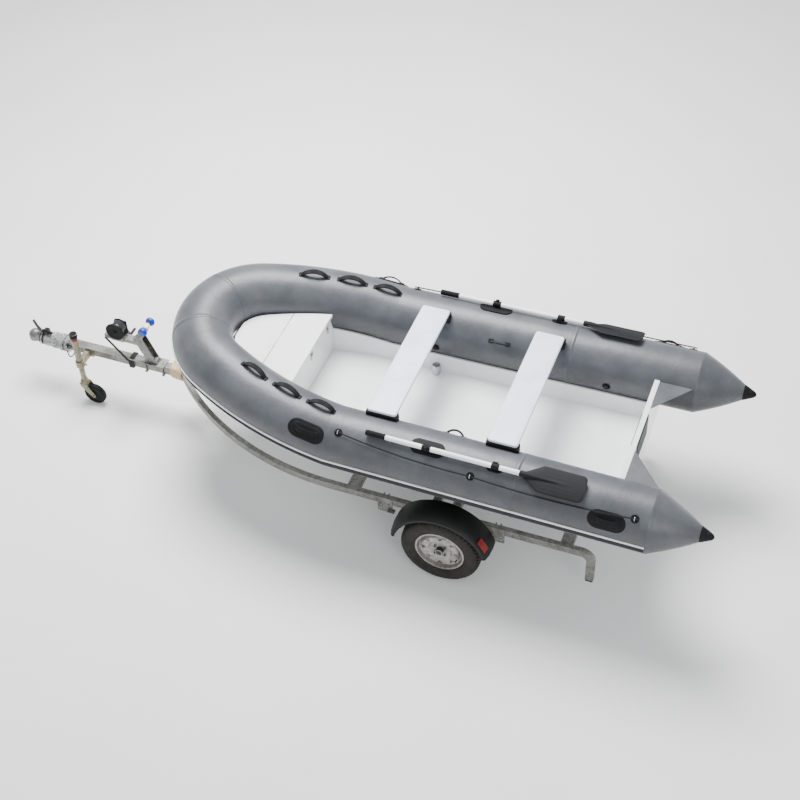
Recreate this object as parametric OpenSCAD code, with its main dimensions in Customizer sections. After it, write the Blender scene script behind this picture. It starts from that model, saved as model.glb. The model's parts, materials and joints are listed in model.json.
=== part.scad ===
// Inflatable boat with a rigid hull, standing on its single-axle road trailer.
// Millimetres. +X is forward (bow and tow coupling), +Y is port, +Z is up, the ground is z = 0.
// Shapes are laid out with x = 0 at the transom and moved so that the whole object is centred on x = 0.

/* [Tubes] */
// Radius of the inflated tubes
tube_r = 216; // [210:1:220]
// Height of the tube axis above the ground
tube_z = 887; // [880:1:900]
// Half the distance between the tube axes at the stern cones
stern_half = 667; // [660:1:675]
// Half the distance between the tube axes where the bow curve starts
fore_half = 645; // [640:1:650]
// Distance from the transom to the start of the bow curve
bow_x = 1940; // [1930:5:1950]
// Plan radius of the long bow curve
bow_r = 2338; // [2330:2:2346]
// Angle through which the long bow curve turns before the nose
bow_turn = 26; // [25:0.5:27]
// Angle by which the bow leans up from the straight tubes
bow_tilt = 8; // [7:0.5:9]

/* [Hull] */
// Height of the keel above the ground
keel_z0 = 505; // [500:1:510]
// Height of the cockpit floor
floor_z = 650; // [645:1:655]
// Height of the transom's top edge
transom_top = 1000; // [990:1:1010]
// Thickness of the transom
transom_t = 36; // [30:1:40]
// Height of the locker lid's top face
lid_top = 1008; // [1004:1:1010]

/* [Seats and oars] */
// Distance from the transom to the middle of each thwart
thwart_x = [776, 1626];
// Thwart width along the boat
thwart_w = 210; // [200:1:220]
// Thwart length across the boat
thwart_l = 1105; // [1080:5:1110]
// Angle of the oars round the tube, outboard from its top
oar_psi = 22; // [20:1:24]
// Distance from the transom to the oar pin
oar_pin_x = 1232; // [1220:1:1240]
// Radius of an oar shaft
oar_r = 17.5; // [16:0.5:18]

/* [Trailer] */
// Distance from the transom to the axle line
axle_x = 1094; // [1085:1:1100]
// Outer radius of a road tyre
tyre_r = 288.5; // [286:0.5:290]
// Width of a road tyre
tyre_w = 155; // [150:1:160]
// Distance from the centre plane to the outer face of a tyre
tyre_out = 932; // [930:1:935]
// Distance from the centre plane to the outer face of a side rail
rail_y = 723; // [720:1:725]
// Height of the side rails' top face
rail_top = 464; // [460:1:468]
// Rail section: width and height
rail_s = [40, 60];
// Drawbar section, square
bar_s = 70; // [65:1:75]
// Height of the drawbar's top face
bar_top = 432; // [428:1:436]
// Distance from the transom to the jockey wheel mast
mast_x = 4300; // [4290:5:4310]
// Distance from the centre plane to the jockey wheel mast
mast_y = 169; // [165:1:175]

/* [Hidden] */

$fn = 48;
arc_fn = 400;                                  // for the wide arcs of the bow and the rails
eps = 0.4;                                     // air left between faces that would otherwise coincide
grey = [0.42, 0.44, 0.46];
dark_grey = [0.25, 0.26, 0.28];
white = [0.93, 0.94, 0.95];
black = [0.08, 0.08, 0.09];
zinc = [0.68, 0.70, 0.71];

coupler_nose = 4846;
cone_tip = -682;                               // end of the cone caps
cone_base = -280;                              // where the tubes turn into cones
cone_end = -606;                               // where the black caps start
cone_end_r = 46;
mid_x = (coupler_nose + cone_tip) / 2;

// The straight tubes close in by this angle towards the bow, and the bow arc starts at it.
toe = atan((stern_half - fore_half) / (bow_x - cone_base));
arc_x = bow_x - bow_r * sin(toe);
arc_y = fore_half - bow_r * cos(toe);
tube_l = (bow_x - cone_base) / cos(toe);

// The nose closes the bow with an arc about a point on the centre plane.
turn_x = arc_x + bow_r * sin(bow_turn);        // where the long curve meets the nose
nose_r = (arc_y + bow_r * cos(bow_turn)) / cos(bow_turn);
nose_x = turn_x - nose_r * sin(bow_turn);

// Plan angle and half-distance of the tube axis at x from the transom, in the bow's own leaning plane.
function heading(x) = x <= bow_x ? toe
    : x <= turn_x ? asin((x - arc_x) / bow_r) : asin(min(1, (x - nose_x) / nose_r));
function axis_y(x) = x <= bow_x ? fore_half + (bow_x - x) * tan(toe)
    : x <= turn_x ? arc_y + sqrt(pow(bow_r, 2) - pow(x - arc_x, 2))
    : sqrt(max(0, pow(nose_r, 2) - pow(x - nose_x, 2)));

// The bow leans up about a line across the boat at the end of the straight tubes.
module lean() translate([bow_x, 0, tube_z]) rotate([0, -bow_tilt, 0]) translate([-bow_x, 0, -tube_z])
    children();
function lean(p) = let (dx = p[0] - bow_x, dz = p[2] - tube_z)
    [bow_x + dx * cos(bow_tilt) - dz * sin(bow_tilt), p[1], tube_z + dx * sin(bow_tilt)
        + dz * cos(bow_tilt)];
function unlean(x, z) = let (dx = x - bow_x, dz = z - tube_z)
    [bow_x + dx * cos(bow_tilt) + dz * sin(bow_tilt), -dx * sin(bow_tilt) + dz * cos(bow_tilt)];

// Half-width of the space between the tubes at x and height z, with a gap g off the tubes.
function inside_y(x, z, g) = let (p = x > bow_x ? unlean(x, z) : [x, z - tube_z],
        w = sqrt(max(0, pow(tube_r, 2) - pow(p[1], 2))) + g)
    p[0] <= bow_x ? axis_y(p[0]) - w / cos(toe)
    : p[0] <= turn_x - w * sin(bow_turn) ? arc_y + sqrt(pow(bow_r - w, 2) - pow(p[0] - arc_x, 2))
    : sqrt(max(0, pow(nose_r - w, 2) - pow(p[0] - nose_x, 2)));

module place() translate([-mid_x, 0, 0]) children();
module both_sides() {
    children();
    mirror([0, 1, 0]) children();
}
// A frame on the port tube at x: X along the tube, Z out of it at psi outboard from its top.
module on_tube(x, psi) {
    if (x > bow_x) lean() on_level_tube(x, psi) children();
    else on_level_tube(x, psi) children();
}
module on_level_tube(x, psi)
    translate([x, axis_y(x), tube_z]) rotate([0, 0, -heading(x)]) rotate([-psi, 0, 0]) children();
module cyl_y(r, y0, y1) translate([0, y0, 0]) rotate([-90, 0, 0]) cylinder(r = r, h = y1 - y0);
module ring_y(r, hole, y0, y1) translate([0, y0, 0]) rotate([-90, 0, 0]) difference() {
    cylinder(r = r, h = y1 - y0);
    translate([0, 0, -1]) cylinder(r = hole, h = y1 - y0 + 2);
}
// Closed solid through sections that hold the same number of points each.
module loft(rows) {
    n = len(rows[0]);
    m = len(rows);
    polyhedron(
        points = [for (r = rows) each r],
        faces = concat([[for (j = [0:n - 1]) j]],
            [for (i = [0:m - 2], j = [0:n - 1])
                each [[i * n + j, (i + 1) * n + j, (i + 1) * n + (j + 1) % n],
                    [i * n + j, (i + 1) * n + (j + 1) % n, i * n + (j + 1) % n]]],
            [[for (j = [n - 1:-1:0]) (m - 1) * n + j]]));
}

// ---- Rigid hull ----
rise_x = 1500;                                 // where the keel starts to rise to the stem
stem_x = 3080;
stem_rise = 292;
bulkhead_x = 2750;                             // forward end of the hollow in the hull
cradle_gap = 4.5;                              // keeps the flats of the cradle off the round tubes
function keel_z(x) = keel_z0 + (x < rise_x ? 0 : stem_rise * pow((x - rise_x) / (stem_x - rise_x), 2.2));
// Point of the cradle under a tube, at an angle b down from the tube's inner side: [x, y, z].
function cradle(x, b) = let (r = tube_r + cradle_gap, d = r * cos(b), h = heading(x))
    x <= bow_x ? [x, axis_y(x) - d / cos(h), tube_z - r * sin(b)]
    : lean([x - d * sin(h), axis_y(x) - d * cos(h), tube_z - r * sin(b)]);
function hull_half(x, open) =
    let (out = cradle(x, 80), inn = cradle(x, 30), k = keel_z(x),
        chine = [out[0], out[1] * 0.93, k + (out[2] - k) * 0.72])
    [[out[0], 0, k], chine, out, cradle(x, 63), cradle(x, 46), inn,
        open ? inn + [0, -14, 0] : [inn[0], inn[1] * 0.75, inn[2]],
        open ? [inn[0], inn[1] - 42, floor_z] : [inn[0], inn[1] * 0.4, inn[2]],
        [inn[0], 0, open ? floor_z : inn[2]]];
function hull_row(x, open) =
    let (h = hull_half(x, open), n = len(h))
    concat(h, [for (i = [n - 2:-1:1]) [h[i][0], -h[i][1], h[i][2]]]);
hull_stations = concat([for (i = [0:4]) [i * bow_x / 4, true]],
    [for (i = [1:11]) [bow_x + i * (bulkhead_x - bow_x) / 11, true]],
    [for (i = [0:9]) [bulkhead_x + 2 + i * (stem_x - bulkhead_x - 2) / 9, false]]);
// The stem closes on a small face just above the keel line.
function stem_row() = let (row = hull_row(stem_x, false), c = row[0] + [0, 0, 6])
    [for (p = row) c + (p - c) * 0.02];
module hull() color(white) place() loft(concat([for (s = hull_stations) hull_row(s[0], s[1])], [stem_row()]));

module transom() color(white) place() difference() {
    translate([-eps - transom_t, 0, 0]) rotate([90, 0, 90]) linear_extrude(transom_t)
        polygon([[0, keel_z0], [582, keel_z0 + 120], [640, 668], [600, transom_top],
            [-600, transom_top], [-640, 668], [-582, keel_z0 + 120]]);
    both_sides() stern_cylinder(tube_r + eps);
    translate([0, -230, keel_z0 + 50]) rotate([0, -90, 0]) cylinder(r = 13, h = 60);
}
// The straight tube, cut square across the boat where the bow starts.
module stern_cylinder(r) intersection() {
    translate([cone_base, stern_half, tube_z]) rotate([0, 90, -toe]) cylinder(r = r, h = tube_l + 20);
    translate([cone_base - 50, 0, 0]) cube([bow_x - cone_base + 50, 1200, 1600]);
}

// ---- Bow locker ----
face_x = 2388;
face_t = 14;
lid_t = 26;
lid_gap = 15;
lid_rear = 2372;
hinge_x = 2640;                                // line where the lid ends and the fixed foredeck starts
lid_tip = 2948;
knuckle_r = 4;
module locker_front() color(white) place() translate([face_x, 0, 0]) rotate([90, 0, 90])
    linear_extrude(face_t)
    let (top = lid_top - lid_t - eps, wall = cradle(face_x + 62, 30),
        foot = [[wall[1] - 47, floor_z + eps], [wall[1] - 20, wall[2] - 6], [wall[1] - 18, wall[2] + 0.6]],
        half = concat(foot,
            [for (i = [0:8]) let (z = wall[2] + 1 + i * (top - wall[2] - 1) / 8)
                [inside_y(face_x + face_t, z, 5), z]]))
    polygon(concat(half, [for (i = [len(half) - 1:-1:0]) [-half[i][0], half[i][1]]]));

// Plates between the tubes from x0 to x1, their sides following the tubes with a gap.
function deck_half(x, g) = min([for (z = [lid_top - lid_t:lid_t / 4:lid_top]) inside_y(x, z, g)]);
function deck_edge(x0, x1, g) = [for (i = [0:12]) let (x = x0 + i * (x1 - x0) / 12) [x, deck_half(x, g)]];
module deck_outline(x0, x1, g) let (e = deck_edge(x0, x1, g))
    polygon(concat(e, [for (i = [len(e) - 1:-1:0]) [e[i][0], -e[i][1]]]));
hinge_z = lid_top + knuckle_r + 0.2;
module knuckle(y0, y1) translate([hinge_x, 0, hinge_z]) cyl_y(knuckle_r, y0, y1);
// Lid: a top plate with a turned-down rim, and the middle knuckle of its hinge.
module locker_lid() color(white) place() {
    difference() {
        translate([0, 0, lid_top - lid_t]) linear_extrude(lid_t) deck_outline(lid_rear, hinge_x - 3,
            lid_gap);
        translate([0, 0, lid_top - lid_t - 1]) linear_extrude(lid_t - 9)
            deck_outline(lid_rear + 16, hinge_x - 19, lid_gap + 18);
    }
    knuckle(-38, 38);
    translate([hinge_x - 14, -38, lid_top - 1]) cube([14, 76, 3]);
}
// Fixed tip ahead of the lid, with the outer knuckles and a web down to the hull.
module foredeck() color(white) place() {
    translate([0, 0, lid_top - lid_t]) linear_extrude(lid_t) deck_outline(hinge_x + 3, lid_tip, lid_gap);
    for (s = [-1, 1]) {
        knuckle(s * 57 - 17, s * 57 + 17);
        translate([hinge_x, s * 57 - 17, lid_top - 1]) cube([14, 34, 3]);
    }
    let (base = cradle(bulkhead_x + 150, 30)[2] + eps)
        translate([bulkhead_x + 40, -12, base]) cube([12, 24, lid_top - lid_t - base]);
}
module motor_pads() color(dark_grey) place() for (x = [-eps - transom_t - eps - 6, 0])
    translate([x, -150, transom_top - 200]) cube([6, 300, 190]);

// ---- Inflated tubes ----
back_turn = 2;                                 // the bow starts this many degrees early and is cut square
// The bow's axis in its leaning plane: the long curve on the port side, then half the nose.
module long_arc() translate([arc_x, arc_y, 0]) rotate([0, 0, 90 - bow_turn])
    rotate_extrude(angle = bow_turn + back_turn, $fn = arc_fn) translate([bow_r, tube_z]) children();
module nose_arc() translate([nose_x, 0, 0]) rotate_extrude(angle = 90 - bow_turn, $fn = arc_fn)
    translate([nose_r, tube_z]) children();
module bow_run() intersection() {
    both_sides() lean() {
        long_arc() children();
        nose_arc() children();
    }
    translate([bow_x, -1500, 0]) cube([2200, 3000, 1700]);
}
module bow_tube() color(grey) place() bow_run() circle(r = tube_r);
module port_tube() color(grey) place() stern_cylinder(tube_r);
module starboard_tube() color(grey) place() mirror([0, 1, 0]) stern_cylinder(tube_r);
// Frame at the aft end of the port tube, with Z pointing aft along the tube.
module aft_of_tube(d) translate([cone_base, stern_half, tube_z]) rotate([0, -90, -toe])
    translate([0, 0, d]) children();
cone_l = cone_base - cone_end;
module stern_cone(gap) aft_of_tube(0) cylinder(r1 = tube_r + gap, r2 = cone_end_r + gap, h = cone_l);
module stern_cones() color(grey) place() both_sides() stern_cone(0);
module cone_caps() color(black) place() both_sides() aft_of_tube(cone_l) rotate_extrude()
        polygon([[0, 0], [cone_end_r, 0], [30, 30], [24, 56], [15, 70], [0, cone_end - cone_tip]]);

// Rub strake: a grey band below a white stripe on the widest line of the tubes.
strake_psi = -14.6;
stripe_psi = -5.6;
module strake_profile() rotate(strake_psi) translate([tube_r + eps, -27]) square([8, 54]);
module stripe_profile() rotate(stripe_psi) translate([tube_r + eps, -6]) square([11, 12]);
module strake_run() place() {
    bow_run() children();
    both_sides() intersection() {
        translate([cone_base, stern_half, tube_z]) rotate([0, 0, -toe]) rotate([90, 0, 90])
            linear_extrude(tube_l + 20) children();
        translate([cone_base - 50, 0, 0]) cube([bow_x - cone_base + 50, 1200, 1600]);
    }
}
module rub_strake() color(dark_grey) strake_run() strake_profile();
module rub_stripe() color(white) strake_run() stripe_profile();

module transom_gussets() color(grey) place() both_sides() difference() {
    translate([0, 0, transom_top - 12]) linear_extrude(5)
        polygon([[-transom_t - 2, 205], [-transom_t - 2, 560], [-300, 560], [-292, 505]]);
    stern_cylinder(tube_r + eps);
    stern_cone(eps);
}

// ---- Thwarts ----
thwart_top = 1135;
thwart_t = 24;
module thwart(x) color([0.86, 0.91, 0.96]) place() translate([x - thwart_w / 2, -thwart_l / 2,
    thwart_top - thwart_t])
    cube([thwart_w, thwart_l, thwart_t]);
module front_thwart() thwart(thwart_x[1]);
module rear_thwart() thwart(thwart_x[0]);
module thwart_brackets() color(black) place() both_sides() difference() {
    for (x = thwart_x) translate([x - 125, 510, 1050]) cube([250, 56, thwart_top - thwart_t - 1050 - eps]);
    stern_cylinder(tube_r + eps);
}

// ---- Handles and fittings on the tubes ----
grab_x = [2060, 2332, 2606];
grab_psi = -4;
// Strap bowed up between two feet, standing on a surface at height z0 in its own frame.
module strap_arch(z0, chord, rise, w, t) let (r = (pow(chord / 2, 2) + pow(rise, 2)) / (2 * rise), a =
    asin(chord / 2 / r))
    translate([0, 0, z0 + rise - r]) rotate([90, 0, 0]) rotate([0, 0, 90 - a]) rotate_extrude(angle = 2 * a)
        translate([r - t, -w / 2]) square([t, w]);
module grab_handles() color(black) place() both_sides() for (x = grab_x) on_tube(x, grab_psi) difference() {
    union() {
        strap_arch(tube_r - 6, 216, 50, 26, 11);
        for (e = [-1, 1]) translate([e * 92 - 24, -19, tube_r - 4]) cube([48, 38, 11]);
    }
    // The tube under a handle, near enough straight over the handle's length
    translate([-200, 0, 0]) rotate([0, 90, 0]) cylinder(r = tube_r + 4, h = 400);
}

carry_at = [[2082, 50], [-18, 61]];
module carry_handles() color(black) place() both_sides() for (c = carry_at) on_tube(c[0], c[1]) {
    tube_patch(236, 132, 6, c[0] > bow_x ? 4 : 1);
    strap_arch(tube_r + 7, 150, 34, 30, 10);
}
// Oval patch of thickness t that lies round the tube, g off its skin.
module tube_patch(l, w, t, g = 1) intersection() {
    rotate([0, 90, 0]) difference() {
        cylinder(r = tube_r + g + t, h = l + 2, center = true, $fn = 96);
        cylinder(r = tube_r + g, h = l + 4, center = true, $fn = 96);
    }
    linear_extrude(2 * tube_r) union() {
        for (e = [-1, 1]) translate([e * (l - w) / 2, 0]) circle(r = w / 2);
        translate([-(l - w) / 2, -w / 2]) square([l - w, w]);
    }
}
strap_x = 1130;
strap_psi = -56;
module inner_straps() color(black) place() both_sides() on_tube(strap_x, strap_psi) {
    strap_arch(tube_r + 3, 130, 34, 26, 5);
    for (e = [-1, 1]) translate([e * 60 - 20, -16, tube_r + 1]) cube([36, 32, 3]);
}

// Rings that hold the lifeline: a patch and a standing eye, at [distance, angle round the tube].
rings = [[1850, 33], [905, 47], [-190, 44]];
line_r = 5;
line_lift = 14;
module lifeline_rings() color(black) place() both_sides() for (p = rings) on_tube(p[0], p[1]) {
    translate([0, 0, tube_r + 1]) cylinder(r = 26, h = 4);
    translate([0, 0, tube_r + line_lift]) rotate([0, 90, 0]) difference() {
        union() {
            translate([0, 0, -5]) cylinder(r = 12.8, h = 10);
            translate([0, -9, -5]) cube([11, 18, 10]);
        }
        translate([0, 0, -6]) cylinder(r = line_r + 3, h = 12);
    }
}
// Rope from ring to ring, hanging a little outboard between them.
slack = 5;
function line_psi(x) =
    let (i = x > rings[1][0] ? 0 : 1, t = (rings[i][0] - x) / (rings[i][0] - rings[i + 1][0]))
    rings[i][1] + (rings[i + 1][1] - rings[i][1]) * t + slack * 4 * t * (1 - t);
line_steps = 42;
line_ends = [rings[0][0] + 25, rings[2][0] - 25];
function line_x(i) = line_ends[0] + (line_ends[1] - line_ends[0]) * i / line_steps;
function line_row(x) = let (p = line_psi(min(rings[0][0], max(rings[2][0], x))))
    [for (k = [0:7]) let (d = tube_r + line_lift + line_r * cos(k * 45), o = line_r * sin(k * 45))
        [x, axis_y(x) + d * sin(p) + o * cos(p), tube_z + d * cos(p) - o * sin(p)]];
module lifeline() color(black) place() loft([for (i = [0:line_steps]) line_row(line_x(i))]);
module port_lifeline() lifeline();
module starboard_lifeline() mirror([0, 1, 0]) lifeline();

module air_valves() color(black) place() both_sides() for (x = [1600, 330]) on_tube(x, -98) {
    translate([0, 0, tube_r + eps]) cylinder(r = 30, h = 3);
    translate([0, 0, tube_r + 3]) cylinder(r = 21, h = 10);
}
// Filler cap standing beside the floor, lid latch, and the two towing eyes on the transom.
module deck_fittings() color(zinc) place() {
    translate([1575, -383, floor_z + eps]) cylinder(r = 30, h = 84);
    both_sides() for (y = [300, 360]) translate([eps, y, 742]) rotate([0, 90, 0]) cylinder(r = 5, h = 26);
    both_sides() translate([26.6, 295, 737]) cube([8, 70, 10]);
}

// ---- Oars on their pins ----
oar_lift = tube_r + 32;                        // height of an oar's axis off the tube axis
oar_clip_x = 763;
pin_r = 6;
grip_end = 430;
shaft_end = -686;
blade_l = 410;
blade_w = 186;
module oar_pads() color(black) place() both_sides() {
    on_tube(oar_pin_x, oar_psi - 4) tube_patch(240, 108, 7);
    on_tube(oar_pin_x, oar_psi) {
        translate([0, 0, tube_r + 4]) cylinder(r = pin_r, h = oar_lift - tube_r + oar_r + 10);
        translate([0, 0, oar_lift + oar_r + 8]) cylinder(r = 14, h = 7);
    }
    // Cradle that the shaft lies in, open on the outboard side
    on_tube(oar_clip_x, oar_psi) {
        tube_patch(112, 60, 6);
        translate([-17, -26, tube_r + 5]) cube([34, 40, 4]);
        translate([-17, -32, tube_r + 5]) cube([34, 9, 30]);
    }
}
module oar() color(white) place() on_tube(oar_pin_x, oar_psi) translate([0, 0, oar_lift]) difference() {
    union() {
        translate([shaft_end, 0, 0]) rotate([0, 90, 0]) cylinder(r = oar_r, h = grip_end - 140 - shaft_end);
        translate([grip_end - 140, 0, 0]) rotate([0, 90, 0]) cylinder(r = oar_r + 2, h = 140);
        translate([-26, 0, 0]) rotate([0, 90, 0]) cylinder(r = oar_r + 5, h = 52);
        // Blade, with its rib
        translate([shaft_end + 20, 0, -5]) linear_extrude(10)
            polygon([[0, 18], [-110, blade_w / 2], [-blade_l + 30, blade_w / 2],
            [-blade_l, blade_w / 2 - 32], [-blade_l, -blade_w / 2 + 32], [-blade_l + 30, -blade_w / 2],
            [-110, -blade_w / 2], [0, -18]]);
        translate([shaft_end - 250, 0, 0]) rotate([0, 90, 0]) cylinder(r1 = 6, r2 = oar_r + 2, h = 290);
    }
    translate([0, 0, -60]) cylinder(r = pin_r + 0.1, h = 120);
}
module port_oar() oar();
module starboard_oar() mirror([0, 1, 0]) oar();

// ---- Trailer frame ----
rail_arc_x = 1950;                             // where the rails start to curve in
rail_arc_r = 2100;
rail_end = 54;                                 // aft face of the rails' legs
bend_r = 100;
leg_bottom = 172;
straight_x = rail_end + bend_r;                // where a rail's rear bend meets its straight run
// Everything inboard of a line that runs straight at y, then on an arc of radius r.
module inboard_of(y, r) {
    translate([straight_x - 1, -rail_arc_r]) square([rail_arc_x - straight_x + 1, rail_arc_r + y]);
    translate([rail_arc_x, rail_y - rail_arc_r]) circle(r = r, $fn = arc_fn);
}
module rail() place() {
    translate([0, 0, rail_top - rail_s[1]]) linear_extrude(rail_s[1]) difference() {
        inboard_of(rail_y, rail_arc_r);
        inboard_of(rail_y - rail_s[0], rail_arc_r - rail_s[0]);
        translate([-4000, -4000]) square([9000, 4000 + bar_s / 2 + eps]);
        translate([-4000, -10]) square([4000 + straight_x, 4000]);
    }
    translate([straight_x, rail_y, rail_top - bend_r]) rotate([90, 0, 0]) rotate([0, 0, 90])
        rotate_extrude(angle = 90) translate([bend_r - rail_s[1], 0]) square([rail_s[1], rail_s[0]]);
    translate([rail_end, rail_y - rail_s[0], leg_bottom])
        cube([rail_s[1], rail_s[0], rail_top - bend_r - leg_bottom]);
}
module port_rail() color(zinc) rail();
module starboard_rail() color(zinc) mirror([0, 1, 0]) rail();
module rail_caps() color(black) place() both_sides()
    translate([rail_end + 4, rail_y - rail_s[0] + 4, leg_bottom - 16])
        cube([rail_s[1] - 8, rail_s[0] - 8, 16 - eps]);

cross_x = [263, 1069, 1810];
cross_w = [88, 64, 92];
cross_t = 50;
module cross_members() color(zinc) place() for (i = [0:2])
    translate([cross_x[i] - cross_w[i] / 2, -rail_y + rail_s[0] + eps, rail_top - cross_t])
        cube([cross_w[i], 2 * (rail_y - rail_s[0] - eps), cross_t]);
bar_aft = cross_x[2] + cross_w[2] / 2 + eps;
bar_fore = 4500;
module drawbar() color(zinc) place() translate([bar_aft, -bar_s / 2, bar_top - bar_s])
    cube([bar_fore - bar_aft, bar_s, bar_s]);

// Bunk boards under the hull, tilted to its bottom, on posts from the cross members.
bunk_y = 330;
deadrise = atan(0.72 * (tube_z - (tube_r + cradle_gap) * sin(80) - keel_z0)
    / (0.93 * (axis_y(900) - (tube_r + cradle_gap) * cos(80))));
bunk_t = 45;
bunk_w = 90;
function bottom_z(y) = keel_z0 + y * tan(deadrise);
module bunk_frame() translate([0, bunk_y, bottom_z(bunk_y)]) rotate([deadrise, 0, 0]) children();
bunk_drop = 4;
module bunks() color(dark_grey) place() both_sides() bunk_frame()
    translate([160, -bunk_w / 2, -bunk_t - bunk_drop]) cube([1560, bunk_w, bunk_t]);
module bunk_posts() color(zinc) place() {
    both_sides() for (x = cross_x) {
        difference() {
            translate([min(x, 1690) - 25, bunk_y - 30, rail_top + eps]) cube([50, 60, 90]);
            bunk_frame() translate([0, -200, -bunk_t - bunk_drop - eps]) cube([2400, 400, 200]);
        }
    }
    // Keel pads on the cross members
    for (x = cross_x) translate([min(x, 1690) - 30, -45, rail_top + eps])
        cube([60, 90, keel_z0 - rail_top - 1.5]);
}

// ---- Axle and road wheels ----
beam_x = axle_x + 140;
beam_s = 56;
beam_z = rail_top - rail_s[1] - eps - beam_s;
wheel_mid = tyre_out - tyre_w / 2;             // centre plane of a tyre
stub_r = 15;
module axle_beam() color(zinc) place() {
    translate([beam_x - beam_s / 2, -rail_y - 2, beam_z]) cube([beam_s, 2 * rail_y + 4, beam_s]);
}
module stub_axles() color(zinc) place() both_sides() {
    translate([0, rail_y + 2 + eps, 0]) arm_plate(26);
    translate([axle_x, 0, tyre_r]) cyl_y(stub_r, rail_y + 20, wheel_mid + 22);
}
// Trailing arm: a flat plate from the beam's end to the stub.
module arm_plate(t) translate([0, t, 0]) rotate([90, 0, 0]) linear_extrude(t) union() {
    translate([beam_x, beam_z + beam_s / 2]) circle(r = 36);
    translate([axle_x, tyre_r]) circle(r = 30);
    polygon([[beam_x - 10, beam_z + beam_s / 2 + 34], [beam_x + 14, beam_z + beam_s / 2 - 33],
        [axle_x + 10, tyre_r - 28], [axle_x - 12, tyre_r + 27]]);
}

rim_lip = 177.5;
rim_half = 58;
disc_y = 30;                                   // mounting face, outboard of the tyre's centre plane
vents = 8;
module wheel() place() translate([axle_x, wheel_mid, tyre_r]) {
    // Rim with its two flanges and the drop centre
    rotate([-90, 0, 0]) rotate_extrude($fn = 96) polygon([[rim_lip, -rim_half], [rim_lip, -rim_half + 5],
        [170, -rim_half + 9],
        [166, -34], [150, -26], [150, 12], [166, 24], [170, rim_half - 9], [rim_lip, rim_half - 5],
        [rim_lip, rim_half], [165, rim_half], [161, 27], [145, 15], [145, -29], [161, -37],
            [165, -rim_half]]);
    // Disc with a ring of vents
    difference() {
        rotate([-90, 0, 0]) rotate_extrude($fn = 96)
            polygon([[28, disc_y], [78, disc_y], [92, disc_y + 12], [128, disc_y + 12], [145.5, 8],
            [150, 8], [150, 14], [131, disc_y + 17], [90, disc_y + 17], [76, disc_y + 5],
                [28, disc_y + 5]]);
        for (i = [0:vents - 1]) rotate([0, i * 360 / vents, 0]) translate([0, disc_y - 20, 0])
            rotate([-90, 0, 0])
            linear_extrude(60) polygon([[104, -6], [130, -22], [130, 22], [104, 6]]);
    }
    // Hub barrel and flange on the stub axle, dust cap and studs
    difference() {
        union() {
            cyl_y(44, -78, disc_y - 9);
            cyl_y(72, disc_y - 10, disc_y - 0.2);
            cyl_y(27, disc_y - 10, disc_y + 38);
        }
        cyl_y(stub_r + 0.05, -90, 24);
    }
    for (i = [0:3]) rotate([0, i * 90 + 45, 0]) translate([50, 0, 0]) {
        cyl_y(9, disc_y + 5, disc_y + 18);
        cyl_y(6, disc_y - 1, disc_y + 6);
    }
}
module tyre() place() translate([axle_x, wheel_mid, tyre_r]) rotate([-90, 0, 0]) rotate_extrude($fn = 96)
    let (half = [[171.5, 48], [179.5, 50.5], [179.5, 60], [192, 70], [208, 75.5], [225, 77.5], [245, 76],
        [264, 69], [279, 58], [286, 42],
        [tyre_r, 16]])
    polygon(concat(half, [for (i = [len(half) - 1:-1:0]) [half[i][0], -half[i][1]]]));
module port_wheel() color(zinc) wheel();
module port_tyre() color(black) tyre();
module starboard_wheel() color(zinc) mirror([0, 1, 0]) wheel();
module starboard_tyre() color(black) mirror([0, 1, 0]) tyre();

guard_r = 352;
guard_in = 768;
guard_out = 946;
module guard_sweep(a0, a1) translate([axle_x, 0, tyre_r]) rotate([90, 0, 0]) rotate([0, 0, a0])
    rotate_extrude(angle = a1 - a0, $fn = 96) children();
// Crowned mudguard with a turned-down outer lip; the profile is [radius, -y].
module mudguards() color(black) place() both_sides() guard_sweep(13, 166)
    polygon([[guard_r + 16, -guard_in], [guard_r + 20, -guard_in - 60], [guard_r + 14, -guard_out + 50],
        [guard_r, -guard_out + 8],
        [guard_r - 8, -guard_out], [guard_r - 26, -guard_out], [guard_r - 26, -guard_out + 4],
            [guard_r - 9, -guard_out + 4],
        [guard_r - 4, -guard_out + 11], [guard_r + 9, -guard_out + 52], [guard_r + 15, -guard_in - 60],
            [guard_r + 11, -guard_in]]);
module reflectors() color([0.75, 0.05, 0.05]) place() both_sides() guard_sweep(140, 156)
    polygon([[guard_r + 19, -guard_out + 60], [guard_r + 6, -guard_out + 13],
        [guard_r + 13, -guard_out + 9], [guard_r + 26, -guard_out + 60]]);
plate_x = [743, 1560];
module mudguard_brackets() color(zinc) place() both_sides() for (i = [0, 1]) {
    x = plate_x[i];
    out = i == 0 ? 1 : -1;                     // direction of the mudguard from the plate
    difference() {
        translate([x - 55, rail_y + eps, 330]) cube([110, 5, rail_top - 330 + 6]);
        for (dx = [-30, 30], dz = [0:2]) translate([x + dx, 0, 352 + dz * 34]) cyl_y(7, rail_y - 5,
            rail_y + 12);
    }
    // Clamp over the rail
    translate([x - 22, rail_y - rail_s[0] - 6, rail_top + eps]) cube([10, rail_s[0] + 11, 6]);
    translate([x + 12, rail_y - rail_s[0] - 6, rail_top + eps]) cube([10, rail_s[0] + 11, 6]);
    // Tab that the mudguard is bolted to
    translate([x + out * 30 - (out > 0 ? 0 : 50), rail_y + 5 + eps, 372])
        cube([50, guard_in - rail_y - 8, 5]);
}

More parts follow.
